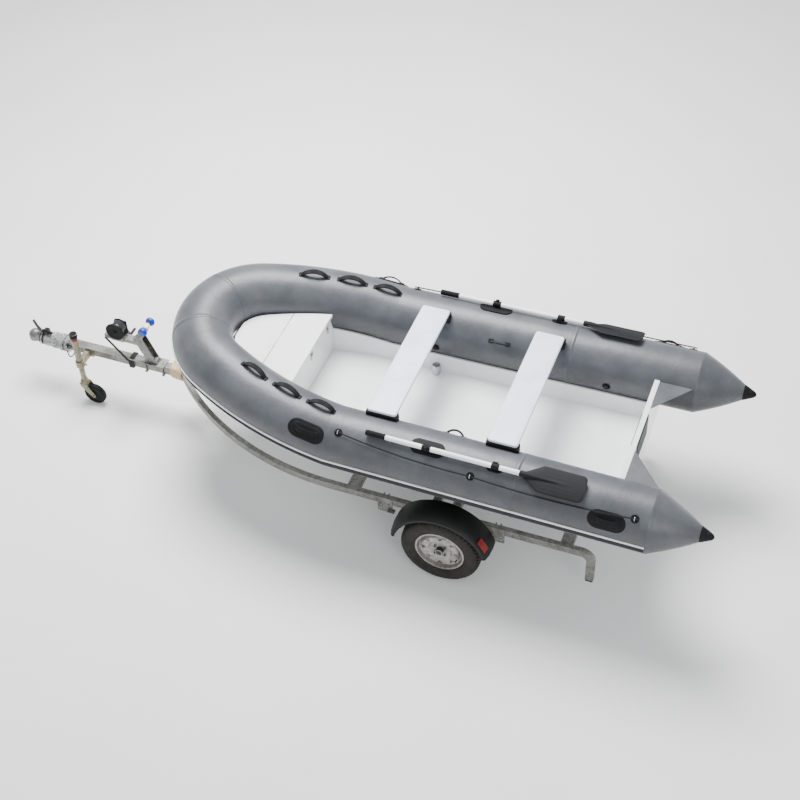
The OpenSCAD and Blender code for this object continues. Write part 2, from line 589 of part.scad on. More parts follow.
// ---- Winch post and bow stop ----
post_foot = [3725, 420];
post_head = [3826, 705];
post_w = 60;
shelf_z = 600;
shelf_aft = post_head[0] + 38;
shelf_fore = 4120;
winch_x = 4000;
winch_z = 712;
roller_x = 3745;
roller_z = 792;
module winch_post() color(zinc) place() {
    difference() {
        translate([0, post_w / 2, 0]) rotate([90, 0, 0]) linear_extrude(post_w)
            polygon([[post_foot[0] - 36, bar_top + eps], [post_foot[0] + 44, bar_top + eps],
                [post_head[0] + 36, post_head[1] - 70], [post_head[0] + 10, post_head[1]],
                    [post_head[0] - 30, post_head[1] - 10]]);
        // Open channel towards the bow of the boat
        translate([0, post_w / 2 - 5, 0]) rotate([90, 0, 0]) linear_extrude(post_w - 10)
            polygon([[post_foot[0] - 60, bar_top + 40], [post_foot[0] + 16, bar_top + 40],
                [post_head[0] + 10, post_head[1] - 60], [post_head[0] - 40, post_head[1] - 20]]);
    }
    // Foot clamped on the drawbar
    translate([post_foot[0] - 90, -50, bar_top + eps]) cube([180, 100, 8]);
    for (x = [post_foot[0] - 78, post_foot[0] + 66]) {
        for (y = [-44, 38]) translate([x, y, bar_top - bar_s - 8]) cube([12, 6, bar_s + 9]);
        translate([x - 4, -50, bar_top - bar_s - 14]) cube([20, 100, 7]);
    }
}
// Shelf for the winch, its cheeks, and the arms that carry the bow roller
module winch_frame() color(zinc) place() {
    translate([shelf_aft, -post_w / 2, shelf_z]) cube([shelf_fore - shelf_aft, post_w, 34]);
    for (y = [-46, 42]) translate([winch_x, y, 0]) difference() {
        translate([-52, 0, shelf_z + 10]) cube([104, 4, winch_z - shelf_z + 30]);
        translate([0, 0, winch_z]) cyl_y(7.05, -5, 10);
    }
    translate([winch_x - 52, -46, shelf_z + 33]) cube([104, 92, 4]);
    for (y = [-post_w / 2 - 6 - eps, post_w / 2 + eps]) translate([0, y + 6, 0]) rotate([90, 0, 0])
        difference() {
        linear_extrude(6) union() {
            translate([roller_x, roller_z]) circle(r = 14);
            polygon([[roller_x - 12, roller_z - 8], [roller_x + 8, roller_z + 12],
                [post_head[0] + 30, post_head[1] - 20],
                [post_head[0] + 44, shelf_z + 6], [post_head[0] - 8, shelf_z + 6]]);
        }
        translate([roller_x, roller_z, -1]) cylinder(r = 6, h = 8);
    }
}
module winch_drum() color(black) place() translate([winch_x, 0, winch_z]) {
    cyl_y(7, -72, 62);
    cyl_y(26, -37, 37);
    ring_y(58, 20, -37, -33);
    ring_y(62, 20, 28, 37);
    // Gear wheel outside the port cheek
    ring_y(74, 6.9, 48, 58);
    // Webbing wound on the drum
    ring_y(50, 20, -31, 26);
    // Crank and its grip
    translate([0, -72, 0]) rotate([0, 110, 0]) {
        translate([-9, 0, -9]) cube([150, 6, 18]);
        translate([132, -70, 0]) rotate([-90, 0, 0]) cylinder(r = 11, h = 71);
    }
}
// Strap from the winch shelf down to a loop round the drawbar
module winch_strap() color(black) place() {
    translate([0, 55, 0]) rotate([90, 0, 0]) linear_extrude(4)
        polygon([[4085, shelf_z + 30], [4110, shelf_z + 24], [3935, bar_top - 20], [3905, bar_top - 20]]);
    difference() {
        translate([3900, -45, bar_top - bar_s - 6]) cube([40, 95, bar_s + 12]);
        translate([3890, -bar_s / 2 - 1, bar_top - bar_s - 1]) cube([60, bar_s + 2, bar_s + 2]);
    }
}
module bow_roller() color([0.05, 0.2, 0.75]) place() translate([roller_x, 0, roller_z])
    rotate([-90, 0, 0]) rotate_extrude()
    polygon([[0, -82], [26, -82], [34, -74], [36, -62], [34, -50], [24, -42], [5.9, -41], [5.9, -26],
        [19, -24], [19, 24],
        [5.9, 26], [5.9, 41], [24, 42], [34, 50], [36, 62], [34, 74], [26, 82], [0, 82]]);

// ---- Coupling ----
ball_r = 25;
ball_x = 4796;
coupler_z = 396;
module coupler() color(zinc) place() difference() {
    union() {
        // Pressed housing, narrowing to the ball cup
        translate([bar_fore + eps, -42, coupler_z - 44]) cube([110, 84, 88]);
        translate([bar_fore + 100, 0, 0]) rotate([90, 0, 0]) translate([0, 0, -32]) linear_extrude(64)
            polygon([[0, coupler_z - 40], [0, coupler_z + 42], [110, coupler_z + 36],
                [190, coupler_z + 28], [190, coupler_z - 24], [110, coupler_z - 34]]);
        translate([ball_x, 0, coupler_z - 24]) cylinder(r = 50, h = 40);
        translate([ball_x, 0, coupler_z + 15.9]) rotate_extrude() intersection() {
            translate([0, -14]) circle(r = 52);
            square([50, 40]);
        }
    }
    translate([ball_x, 0, coupler_z - 30]) cylinder(r = ball_r + 0.3, h = 42);
}
module coupler_lever() color(dark_grey) place() {
    translate([0, 7, 0]) rotate([90, 0, 0]) linear_extrude(14)
        polygon([[4640, coupler_z + 44.5], [4700, coupler_z + 44.5],
        [4742, coupler_z + 60], [4770, coupler_z + 108], [4786, coupler_z + 160], [4772, coupler_z + 164],
        [4752, coupler_z + 112], [4726, coupler_z + 76], [4690, coupler_z + 62], [4640, coupler_z + 62]]);
    translate([4655, -18, coupler_z + 62.4]) cube([38, 36, 34]);
}

// ---- Jockey wheel ----
jockey_r = 90;
jockey_w = 52;
jockey_x = mast_x - 73;
mast_r = 25;
leg_r = 21.5;
mast_bottom = 352;
mast_top = 672;
head_z = 190;
module jockey_clamp() color(zinc) place() {
    translate([mast_x - 45, bar_s / 2 + eps, bar_top - bar_s - 6]) cube([90, 6, bar_s + 18]);
    difference() {
        union() {
            translate([mast_x, mast_y, bar_top - 64]) cylinder(r = 34, h = 56);
            translate([mast_x - 20, bar_s / 2 + 4, bar_top - 64]) cube([40, mast_y - bar_s / 2 - 26, 56]);
        }
        translate([mast_x, mast_y, bar_top - 80]) cylinder(r = mast_r + 0.2, h = 120);
    }
    translate([mast_x - 60, mast_y - 6, bar_top - 42]) cube([30, 12, 12]);
}
module jockey_mast() color(zinc) place() translate([mast_x, mast_y, 0]) {
    difference() {
        translate([0, 0, mast_bottom]) cylinder(r = mast_r, h = mast_top - mast_bottom);
        translate([0, 0, mast_bottom - 1]) cylinder(r = leg_r + 0.08, h = mast_top - mast_bottom - 8);
    }
    translate([0, 0, mast_top]) cylinder(r = mast_r + 4, h = 34);
}
module jockey_leg() color(zinc) place() translate([mast_x, mast_y, head_z + 24]) {
    cylinder(r = leg_r, h = 270);
    cylinder(r = 29, h = 10);
}
module jockey_fork() color(zinc) place() {
    translate([mast_x, mast_y, head_z - 6]) cylinder(r = 32, h = 29.5);
    for (s = [-1, 1]) translate([0, mast_y + s * 31 + 2, 0]) rotate([90, 0, 0]) linear_extrude(4)
        difference() {
        union() {
            polygon([[mast_x - 32, head_z + 6], [mast_x + 30, head_z + 6], [mast_x + 22, head_z - 24],
                [jockey_x + 18, jockey_r - 12], [jockey_x - 17, jockey_r + 10]]);
            translate([jockey_x, jockey_r]) circle(r = 20);
        }
        translate([jockey_x, jockey_r]) circle(r = 6.05);
    }
    translate([mast_x - 32, mast_y - 33, head_z - 4]) cube([64, 66, 8]);
}
module jockey_wheel() color(black) place() translate([jockey_x, mast_y, jockey_r]) rotate([-90, 0, 0])
    rotate_extrude($fn = 64)
    polygon([[0, -36], [6, -36], [6, -27], [24, -27], [24, -22], [58, -20], [60, -jockey_w / 2 + 2],
        [80, -jockey_w / 2 + 1], [jockey_r, -14],
        [jockey_r, 14], [80, jockey_w / 2 - 1], [60, jockey_w / 2 - 2], [58, 20], [24, 22], [24, 27],
            [6, 27], [6, 36], [0, 36]]);

hull();
transom();
locker_front();
locker_lid();
foredeck();
motor_pads();
bow_tube();
port_tube();
starboard_tube();
stern_cones();
cone_caps();
rub_strake();
rub_stripe();
transom_gussets();
front_thwart();
rear_thwart();
thwart_brackets();
grab_handles();
carry_handles();
inner_straps();
lifeline_rings();
port_lifeline();
starboard_lifeline();
air_valves();
deck_fittings();
oar_pads();
port_oar();
starboard_oar();
port_rail();
starboard_rail();
rail_caps();
drawbar();
cross_members();
bunks();
bunk_posts();
axle_beam();
stub_axles();
port_wheel();
port_tyre();
starboard_wheel();
starboard_tyre();
mudguards();
mudguard_brackets();
reflectors();
winch_post();
winch_frame();
winch_drum();
winch_strap();
bow_roller();
coupler();
coupler_lever();
jockey_clamp();
jockey_mast();
jockey_leg();
jockey_fork();
jockey_wheel();
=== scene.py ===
import json
import math
import bmesh
import bpy
import numpy as np
from mathutils import Matrix, Vector

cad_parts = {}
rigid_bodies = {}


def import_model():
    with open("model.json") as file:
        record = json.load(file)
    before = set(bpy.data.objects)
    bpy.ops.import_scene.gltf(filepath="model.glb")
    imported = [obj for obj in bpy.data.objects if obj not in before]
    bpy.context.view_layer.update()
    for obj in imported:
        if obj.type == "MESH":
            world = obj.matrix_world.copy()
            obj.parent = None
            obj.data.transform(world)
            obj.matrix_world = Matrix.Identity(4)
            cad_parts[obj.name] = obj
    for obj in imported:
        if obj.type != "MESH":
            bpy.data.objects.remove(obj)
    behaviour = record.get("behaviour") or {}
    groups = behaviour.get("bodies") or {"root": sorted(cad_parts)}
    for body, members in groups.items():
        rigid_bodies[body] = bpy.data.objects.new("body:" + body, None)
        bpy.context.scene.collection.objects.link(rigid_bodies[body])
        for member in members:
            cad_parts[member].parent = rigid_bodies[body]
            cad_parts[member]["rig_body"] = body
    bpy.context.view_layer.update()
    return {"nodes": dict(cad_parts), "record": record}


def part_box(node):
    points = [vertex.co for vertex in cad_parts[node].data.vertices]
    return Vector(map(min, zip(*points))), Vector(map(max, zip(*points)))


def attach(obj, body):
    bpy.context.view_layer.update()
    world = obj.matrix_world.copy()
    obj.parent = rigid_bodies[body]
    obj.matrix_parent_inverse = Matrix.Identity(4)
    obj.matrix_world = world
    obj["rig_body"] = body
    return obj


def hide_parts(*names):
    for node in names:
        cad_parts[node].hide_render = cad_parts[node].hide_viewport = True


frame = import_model()
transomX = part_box("transom")[1].x + 0.0004      # the boat's pieces are laid out from the transom's face
slotOf = {part["node"]: part["material_slot"] for part in frame["record"]["subparts"]}
print("frame loaded", len(frame["nodes"]), "nodes")

# camera and light
camera = dict(target=(-0.4096, 0.1013, 0.8), azimuth=22.6548, elevation=45.5486, roll=-2.553, distance=10.3404,
              lens=65.89)
light = dict(sky=0.86, skyHex="#f6f8fb", keyPower=1650, keySize=4.5, keyPlace=(1.5, -2.5, 7.5), fillPower=150,
             fillPlace=(-5.5, 5.0, 4.0))


def hexToLinear(code):
    srgb = np.array([int(code[i:i + 2], 16) / 255 for i in (1, 3, 5)])
    linear = np.where(srgb <= 0.04045, srgb / 12.92, ((srgb + 0.055) / 1.055) ** 2.4)
    return (*linear.tolist(), 1.0)


def placeCamera(c):
    # The camera looks at the target from an azimuth east of south turned into the object's axes, then rolls.
    az, el, roll = (math.radians(c[k]) for k in ("azimuth", "elevation", "roll"))
    forward = Vector((math.sin(az) * math.cos(el), -math.cos(az) * math.cos(el), -math.sin(el)))
    right = forward.cross(Vector((0, 0, 1))).normalized()
    up = right.cross(forward)
    right, up = right * math.cos(roll) + up * math.sin(roll), up * math.cos(roll) - right * math.sin(roll)
    view = bpy.data.objects.new("camera", bpy.data.cameras.new("camera"))
    bpy.context.scene.collection.objects.link(view)
    turn = Matrix((right, up, -forward)).transposed().to_4x4()
    view.matrix_world = Matrix.Translation(Vector(c["target"]) - forward * c["distance"]) @ turn
    view.data.lens, view.data.sensor_width = c["lens"], 36
    view.data.clip_end = 200
    bpy.context.scene.camera = view


def softLight(name, place, power, size, aim=(0, 0, 0.6)):
    lamp = bpy.data.objects.new(name, bpy.data.lights.new(name, "AREA"))
    lamp.data.energy, lamp.data.shape, lamp.data.size = power, "DISK", size
    lamp.location = place
    lamp.rotation_mode = "QUATERNION"
    lamp.rotation_quaternion = (Vector(aim) - Vector(place)).to_track_quat("-Z", "Y")
    bpy.context.scene.collection.objects.link(lamp)


placeCamera(camera)
softLight("keyLight", light["keyPlace"], light["keyPower"], light["keySize"])
softLight("fillLight", light["fillPlace"], light["fillPower"], 3.0)
world = bpy.data.worlds.new("studio")
bpy.context.scene.world = world
world.use_nodes = True
world.node_tree.nodes["Background"].inputs["Color"].default_value = hexToLinear(light["skyHex"])
world.node_tree.nodes["Background"].inputs["Strength"].default_value = light["sky"]
print("camera and light placed")


# materials
def addNode(tree, kind, links=None, values=None, stops=None, **settings):
    # links and values go to the node's inputs by name or number; stops are a colour ramp's places and colours
    node = tree.nodes.new(kind)
    for name, value in settings.items():
        setattr(node, name, value)
    for name, value in (values or {}).items():
        node.inputs[name].default_value = value
    for name, socket in (links or {}).items():
        tree.links.new(socket, node.inputs[name])
    for element, (where, colour) in zip(node.color_ramp.elements if stops else (), stops or ()):
        element.position, element.color = where, hexToLinear(colour)
    return node


def newFinish(name, **shader):
    material = bpy.data.materials.new(name)
    material.use_nodes = True
    tree = material.node_tree
    surface = tree.nodes["Principled BSDF"]
    for key, value in shader.items():
        surface.inputs[key.replace("_", " ")].default_value = value
    place = addNode(tree, "ShaderNodeTexCoord").outputs["Object"]
    return material, tree, surface, place


def dress(tree, surface, **sockets):
    # joins the colour, roughness and relief of a finish to its shader
    for key, socket in sockets.items():
        tree.links.new(socket, surface.inputs[key.replace("_", " ")])


finishes = {
    # moulded glass fibre with a polished gelcoat: bright, wet-looking, very slightly wavy
    "gelcoat": dict(low="#eceeee", high="#fafafa", stain=420, rough=(0.14, 0.26), grain=90, depth=0.0006, coat=0.5),
    # painted board, smoother and bluer than the hull, with faint rub marks
    "paintedBoard": dict(low="#d3dff0", high="#e6effa", stain=160, rough=(0.3, 0.46), grain=14, depth=0.00012),
    # vulcanised black rubber from a mould: soft sheen, fine pits
    "mouldedRubber": dict(low="#060607", high="#101113", stain=60, rough=(0.58, 0.72), grain=3, depth=0.0003,
                          shine=0.22),
    # extruded grey rubber, dusty on its ribs
    "extrudedRubber": dict(low="#1d1f21", high="#2b2e30", stain=70, rough=(0.55, 0.72), grain=4, depth=0.0003,
                           shine=0.35),
    # pale vinyl strip, a little chalky
    "paleVinyl": dict(low="#e2e4e5", high="#fafafa", stain=90, rough=(0.35, 0.5), grain=6, depth=0.0001),
    # twisted polyester rope: fuzzy and dull
    "polyesterRope": dict(low="#0a0b0c", high="#1f2123", stain=8, rough=(0.72, 0.9), grain=1.5, depth=0.0005,
                          shine=0.3),
    # powder-coated tube, smooth and slightly orange-peeled
    "powderCoat": dict(low="#e6e8ea", high="#f8f8f8", stain=80, rough=(0.28, 0.42), grain=5, depth=0.0001, coat=0.1),
    # glass-filled nylon: dark, even, faintly mottled
    "filledNylon": dict(low="#0c0e11", high="#15181c", stain=40, rough=(0.56, 0.7), grain=3, depth=0.0002,
                        shine=0.24),
    # polypropylene sheet, vacuum formed: semi-gloss black with a leathery grain
    "formedPlastic": dict(low="#060606", high="#0f1010", stain=120, rough=(0.46, 0.62), grain=4, depth=0.0004,
                          shine=0.3),
    # woven carpet over the bunks: matt and tufted
    "bunkCarpet": dict(low="#1a1c1f", high="#33373a", stain=12, rough=(0.9, 1.0), grain=3.5, depth=0.004),
    # polyurethane roller: waxy blue
    "bluePolyurethane": dict(low="#0a2b94", high="#1747bd", stain=30, rough=(0.34, 0.46), grain=5, depth=0.0001,
                             coat=0.1),
    # black enamel on pressed steel
    "blackEnamel": dict(low="#0b0c0d", high="#17181a", stain=50, rough=(0.3, 0.44), grain=5, depth=0.0001, coat=0.1),
    # masking tape wound round a joint: papery and creased
    "creasedTape": dict(low="#b59a6e", high="#d8c6a0", stain=25, rough=(0.6, 0.8), grain=6, depth=0.001),
}


def plainFinish(name, f):
    # stain, rough and grain sizes are in millimetres across the surface, depth is in metres
    material, tree, surface, place = newFinish(name, Metallic=0.0, Coat_Weight=f.get("coat", 0.0),
                                               Coat_Roughness=0.12,
                                               Specular_IOR_Level=f.get("shine", 0.5))
    stain = addNode(tree, "ShaderNodeTexNoise", {"Vector": place},
                    {"Scale": 1000 / f["stain"], "Detail": 5.0, "Roughness": 0.6}).outputs["Fac"]
    grain = addNode(tree, "ShaderNodeTexNoise", {"Vector": place},
                    {"Scale": 1000 / f["grain"], "Detail": 3.0}).outputs["Fac"]
    colour = addNode(tree, "ShaderNodeValToRGB", {"Fac": stain}, stops=((0.3, f["low"]), (0.7, f["high"])))
    rough = addNode(tree, "ShaderNodeMapRange", {"Value": stain}, {"To Min": f["rough"][0], "To Max": f["rough"][1]})
    relief = addNode(tree, "ShaderNodeBump", {"Height": grain}, {"Distance": f["depth"], "Strength": 0.6})
    dress(tree, surface, Base_Color=colour.outputs[0], Roughness=rough.outputs[0], Normal=relief.outputs[0])
    return material


finish = {name: plainFinish(name, f) for name, f in finishes.items()}


def coatedFabric():
    # PVC-coated polyester stretched by air: satin grey, threads just showing through, scuffed on top, with painted
    # shade mottled in low down
    look = dict(low="#3f4247", high="#52565b", lowShade="#1f1d1c", threadMm=2.4, scuffMm=240,
                fineMm=18,   # threads are 1 mm, drawn coarser to show
                rough=(0.36, 0.52), shadeFrom=1.01, shadeTo=0.78, shadeMost=1.1, slack=0.012, thread=0.00012)
    material, tree, surface, place = newFinish("coatedFabric", Metallic=0.0, Sheen_Weight=0.08, Coat_Weight=0.06,
                                               Coat_Roughness=0.3)
    broad = addNode(tree, "ShaderNodeTexNoise", {"Vector": place},
                    {"Scale": 1000 / look["scuffMm"], "Detail": 6.0, "Roughness": 0.62}).outputs["Fac"]
    fine = addNode(tree, "ShaderNodeTexNoise", {"Vector": place},
                   {"Scale": 1000 / look["fineMm"], "Detail": 4.0}).outputs["Fac"]
    shade = addNode(tree, "ShaderNodeValToRGB", {"Fac": broad}, stops=((0.32, look["low"]), (0.68, look["high"])))
    height = addNode(tree, "ShaderNodeSeparateXYZ", {"Vector": place}).outputs["Z"]
    # painted shade: the colour goes darker lower down the tube, broken up by the fine noise
    low = addNode(tree, "ShaderNodeMapRange", {"Value": height},
                  {"From Min": look["shadeFrom"], "From Max": look["shadeTo"],
                                                                  "To Min": 0.0, "To Max": look["shadeMost"]})
    lowShadeMask = addNode(tree, "ShaderNodeMath", {0: low.outputs[0], 1: fine}, operation="MULTIPLY")
    colour = addNode(tree, "ShaderNodeMix", data_type="RGBA")
    tree.links.new(lowShadeMask.outputs[0], colour.inputs[0])
    tree.links.new(shade.outputs[0], colour.inputs[6])
    # the dark colour of the painted shade low down
    colour.inputs[7].default_value = hexToLinear(look["lowShade"])
    rough = addNode(tree, "ShaderNodeMapRange", {"Value": fine},
                    {"To Min": look["rough"][0], "To Max": look["rough"][1]})
    threads = {"Scale": 1000 / look["threadMm"] / math.tau, "Distortion": 0.4}
    warp = addNode(tree, "ShaderNodeTexWave", {"Vector": place}, threads, bands_direction="X")
    weft = addNode(tree, "ShaderNodeTexWave", {"Vector": place}, threads, bands_direction="Z")
    weave = addNode(tree, "ShaderNodeMath", {0: warp.outputs["Fac"], 1: weft.outputs["Fac"]}, operation="ADD")
    soft = addNode(tree, "ShaderNodeBump", {"Height": broad}, {"Distance": look["slack"], "Strength": 0.5})
    relief = addNode(tree, "ShaderNodeBump", {"Height": weave.outputs[0], "Normal": soft.outputs[0]},
                     {"Distance": look["thread"], "Strength": 0.5})
    dress(tree, surface, Base_Color=colour.outputs[2], Roughness=rough.outputs[0], Normal=relief.outputs[0])
    return material


def galvanised(name, low, high, rust, rough):
    # hot-dip zinc: cool grey crystals of uneven brightness, dull where it has weathered, rusty specks
    look = dict(crystalMm=16, cloudMm=110, spotMm=45, rustHex="#6e4a33", pits=0.0004)
    material, tree, surface, place = newFinish(name, Metallic=0.72)
    spangle = addNode(tree, "ShaderNodeTexVoronoi", {"Vector": place}, {"Scale": 1000 / look["crystalMm"]})
    cloud = addNode(tree, "ShaderNodeTexNoise", {"Vector": place},
                    {"Scale": 1000 / look["cloudMm"], "Detail": 6.0, "Roughness": 0.65}).outputs["Fac"]
    grey = addNode(tree, "ShaderNodeSeparateColor", {"Color": spangle.outputs["Color"]}).outputs[0]
    mixed = addNode(tree, "ShaderNodeMath", {0: grey, 2: cloud}, {1: 0.3}, operation="MULTIPLY_ADD")
    zinc = addNode(tree, "ShaderNodeValToRGB", {"Fac": mixed.outputs[0]}, stops=((0.35, low), (0.95, high)))
    spots = addNode(tree, "ShaderNodeTexNoise", {"Vector": place},
                    {"Scale": 1000 / look["spotMm"], "Detail": 8.0, "Roughness": 0.7}).outputs["Fac"]
    where = addNode(tree, "ShaderNodeMapRange", {"Value": spots}, {"From Min": 0.62, "From Max": 0.72, "To Min": 0.0,
                                                                   "To Max": rust})
    colour = addNode(tree, "ShaderNodeMix", data_type="RGBA")
    tree.links.new(where.outputs[0], colour.inputs[0])
    tree.links.new(zinc.outputs[0], colour.inputs[6])
    colour.inputs[7].default_value = hexToLinear(look["rustHex"])
    dull = addNode(tree, "ShaderNodeMapRange", {"Value": cloud}, {"To Min": rough[0], "To Max": rough[1]})
    relief = addNode(tree, "ShaderNodeBump", {"Height": spots}, {"Distance": look["pits"], "Strength": 0.4})
    dress(tree, surface, Base_Color=colour.outputs[2], Roughness=dull.outputs[0], Normal=relief.outputs[0])
    return material


def treadRubber():
    # road tyre rubber: brown-black, dusty in the grooves, fine rings moulded in the sidewall
    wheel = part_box("port_tyre")
    centre = (wheel[0] + wheel[1]) / 2
    material, tree, surface, place = newFinish("treadRubber", Metallic=0.0, Specular_IOR_Level=0.35)
    dust = addNode(tree, "ShaderNodeTexNoise", {"Vector": place},
                   {"Scale": 1000 / 60, "Detail": 7.0, "Roughness": 0.7}).outputs["Fac"]
    colour = addNode(tree, "ShaderNodeValToRGB", {"Fac": dust}, stops=((0.35, "#12110f"), (0.75, "#332f2a")))
    rough = addNode(tree, "ShaderNodeMapRange", {"Value": dust}, {"To Min": 0.62, "To Max": 0.85})
    axle = addNode(tree, "ShaderNodeMapping", {"Vector": place},
                   {"Location": (-centre.x, 0, -centre.z), "Scale": (1, 0, 1)})
    rings = addNode(tree, "ShaderNodeTexWave", {"Vector": axle.outputs[0]}, {"Scale": 1000 / 7 / math.tau},
                    wave_type="RINGS", rings_direction="SPHERICAL")
    relief = addNode(tree, "ShaderNodeBump", {"Height": rings.outputs["Fac"]}, {"Distance": 0.0006, "Strength": 0.5})
    dress(tree, surface, Base_Color=colour.outputs[0], Roughness=rough.outputs[0], Normal=relief.outputs[0])
    return material


def lensPlastic():
    # moulded acrylic lens: clear deep red with small prisms behind the face
    material, tree, surface, place = newFinish("lensPlastic", Metallic=0.0, Coat_Weight=0.15, Coat_Roughness=0.2,
                                               Specular_IOR_Level=0.3)
    prisms = addNode(tree, "ShaderNodeTexVoronoi", {"Vector": place},
                     {"Scale": 1000 / 5, "Randomness": 0.0}).outputs["Distance"]
    colour = addNode(tree, "ShaderNodeValToRGB", {"Fac": prisms}, stops=((0.1, "#930f0c"), (0.7, "#5a0606")))
    rough = addNode(tree, "ShaderNodeMapRange", {"Value": prisms}, {"To Min": 0.12, "To Max": 0.3})
    relief = addNode(tree, "ShaderNodeBump", {"Height": prisms}, {"Distance": 0.001, "Strength": 0.7})
    dress(tree, surface, Base_Color=colour.outputs[0], Roughness=rough.outputs[0], Normal=relief.outputs[0])
    return material


def webbing():
    # woven polyester strap: close diagonal weave, dull
    material, tree, surface, place = newFinish("wovenWebbing", Metallic=0.0, Sheen_Weight=0.15,
                                               Specular_IOR_Level=0.35)
    ribs = addNode(tree, "ShaderNodeTexWave", {"Vector": place}, {"Scale": 1000 / 3.5 / math.tau, "Distortion": 0.3},
                   bands_direction="DIAGONAL").outputs["Fac"]
    colour = addNode(tree, "ShaderNodeValToRGB", {"Fac": ribs}, stops=((0.2, "#08090a"), (0.8, "#1f2225")))
    rough = addNode(tree, "ShaderNodeMapRange", {"Value": ribs}, {"To Min": 0.7, "To Max": 0.9})
    relief = addNode(tree, "ShaderNodeBump", {"Height": ribs}, {"Distance": 0.0006, "Strength": 0.8})
    dress(tree, surface, Base_Color=colour.outputs[0], Roughness=rough.outputs[0], Normal=relief.outputs[0])
    return material


def polishedSteel():
    # stainless steel fittings: bright, brushed along, with finger marks
    material, tree, surface, place = newFinish("polishedSteel", Metallic=1.0)
    along = addNode(tree, "ShaderNodeMapping", {"Vector": place}, {"Scale": (1, 14, 14)})
    brush = addNode(tree, "ShaderNodeTexNoise", {"Vector": along.outputs[0]},
                    {"Scale": 60.0, "Detail": 4.0}).outputs["Fac"]
    colour = addNode(tree, "ShaderNodeValToRGB", {"Fac": brush}, stops=((0.3, "#b6b9bc"), (0.7, "#d8dadc")))
    rough = addNode(tree, "ShaderNodeMapRange", {"Value": brush}, {"To Min": 0.18, "To Max": 0.36})
    dress(tree, surface, Base_Color=colour.outputs[0], Roughness=rough.outputs[0])
    return material


def studioFloor():
    # smooth pale screed, matt
    material, tree, surface, place = newFinish("paleScreed", Metallic=0.0)
    cloud = addNode(tree, "ShaderNodeTexNoise", {"Vector": place}, {"Scale": 0.8, "Detail": 4.0}).outputs["Fac"]
    colour = addNode(tree, "ShaderNodeValToRGB", {"Fac": cloud}, stops=((0.3, "#ececec"), (0.7, "#f1f1f1")))
    rough = addNode(tree, "ShaderNodeMapRange", {"Value": cloud}, {"To Min": 0.8, "To Max": 0.9})
    dress(tree, surface, Base_Color=colour.outputs[0], Roughness=rough.outputs[0])
    return material


finish.update(coatedFabric=coatedFabric(), galvanised=galvanised("hotDipGalvanised", "#5c5c59", "#94938d", 0.5,
                                                                 (0.36, 0.56)),
              rimZinc=galvanised("zincPlate", "#85827d", "#bdbab4", 0.3, (0.32, 0.5)), treadRubber=treadRubber(),
              oliveZinc=galvanised("yellowPassivatedZinc", "#6b6852", "#95907a", 0.4, (0.35, 0.55)),
              lensPlastic=lensPlastic(), wovenWebbing=webbing(), polishedSteel=polishedSteel())
finishOfSlot = {"hull_gelcoat": "gelcoat", "thwart_board": "paintedBoard", "tube_fabric": "coatedFabric",
                "cone_rubber": "mouldedRubber",
                "strake_rubber": "extrudedRubber", "stripe_vinyl": "paleVinyl", "gusset_fabric": "coatedFabric",
                "fitting_rubber": "mouldedRubber", "rope_polyester": "polyesterRope", "oar_shaft": "powderCoat",
                "stainless_fitting": "polishedSteel", "galvanised_steel": "galvanised", "bunk_carpet": "bunkCarpet",
                "rim_steel": "rimZinc", "tyre_rubber": "treadRubber", "guard_plastic": "formedPlastic",
                "reflector_red": "lensPlastic", "winch_black": "blackEnamel", "webbing_black": "wovenWebbing",
                "roller_blue": "bluePolyurethane"}
for node, piece in frame["nodes"].items():
    piece.data.materials.clear()
    piece.data.materials.append(finish[finishOfSlot[slotOf[node]]])
print("materials made")


# surfaces
def gridFaces(nu, nv, closeU=False, closeV=True):
    # quads between neighbouring rows and columns of a grid, wrapping round where it closes
    u = np.arange(nu if closeU else nu - 1)[:, None]
    v = np.arange(nv if closeV else nv - 1)[None, :]
    a = u * nv + v
    b = ((u + 1) % nu) * nv + v
    c = ((u + 1) % nu) * nv + (v + 1) % nv
    d = u * nv + (v + 1) % nv
    return np.stack([a, b, c, d], axis=-1).reshape(-1, 4)


def shellOf(rings, closeU=False):
    # closed surface through rings of points; the first and last rings are capped unless the rings close on themselves
    nu, nv = rings.shape[:2]
    faces = gridFaces(nu, nv, closeU).tolist()
    if not closeU:
        faces += [list(range(nv)), list(range((nu - 1) * nv, nu * nv))]
    return rings.reshape(-1, 3), faces


def addPiece(name, shells, material, body, replaces=(), sharpAngle=38):
    points, faces, count = [], [], 0
    for verts, polygons in shells:
        points.append(np.asarray(verts, float))
        faces += [[i + count for i in polygon] for polygon in polygons]
        count += len(verts)
    mesh = bpy.data.meshes.new(name)
    mesh.from_pydata(np.concatenate(points).tolist(), [], faces)
    built = bmesh.new()
    built.from_mesh(mesh)
    bmesh.ops.remove_doubles(built, verts=built.verts, dist=2e-6)
    bmesh.ops.dissolve_degenerate(built, edges=built.edges, dist=1e-7)
    bmesh.ops.recalc_face_normals(built, faces=built.faces)
    built.to_mesh(mesh)
    built.free()
    mesh.shade_smooth()
    mesh.set_sharp_from_angle(angle=math.radians(sharpAngle))
    mesh.materials.append(material)
    piece = bpy.data.objects.new(name, mesh)
    bpy.context.scene.collection.objects.link(piece)
    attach(piece, body)
    if replaces:
        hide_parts(*replaces)
    return piece


def bodyOf(node):
    return frame["nodes"][node]["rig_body"]


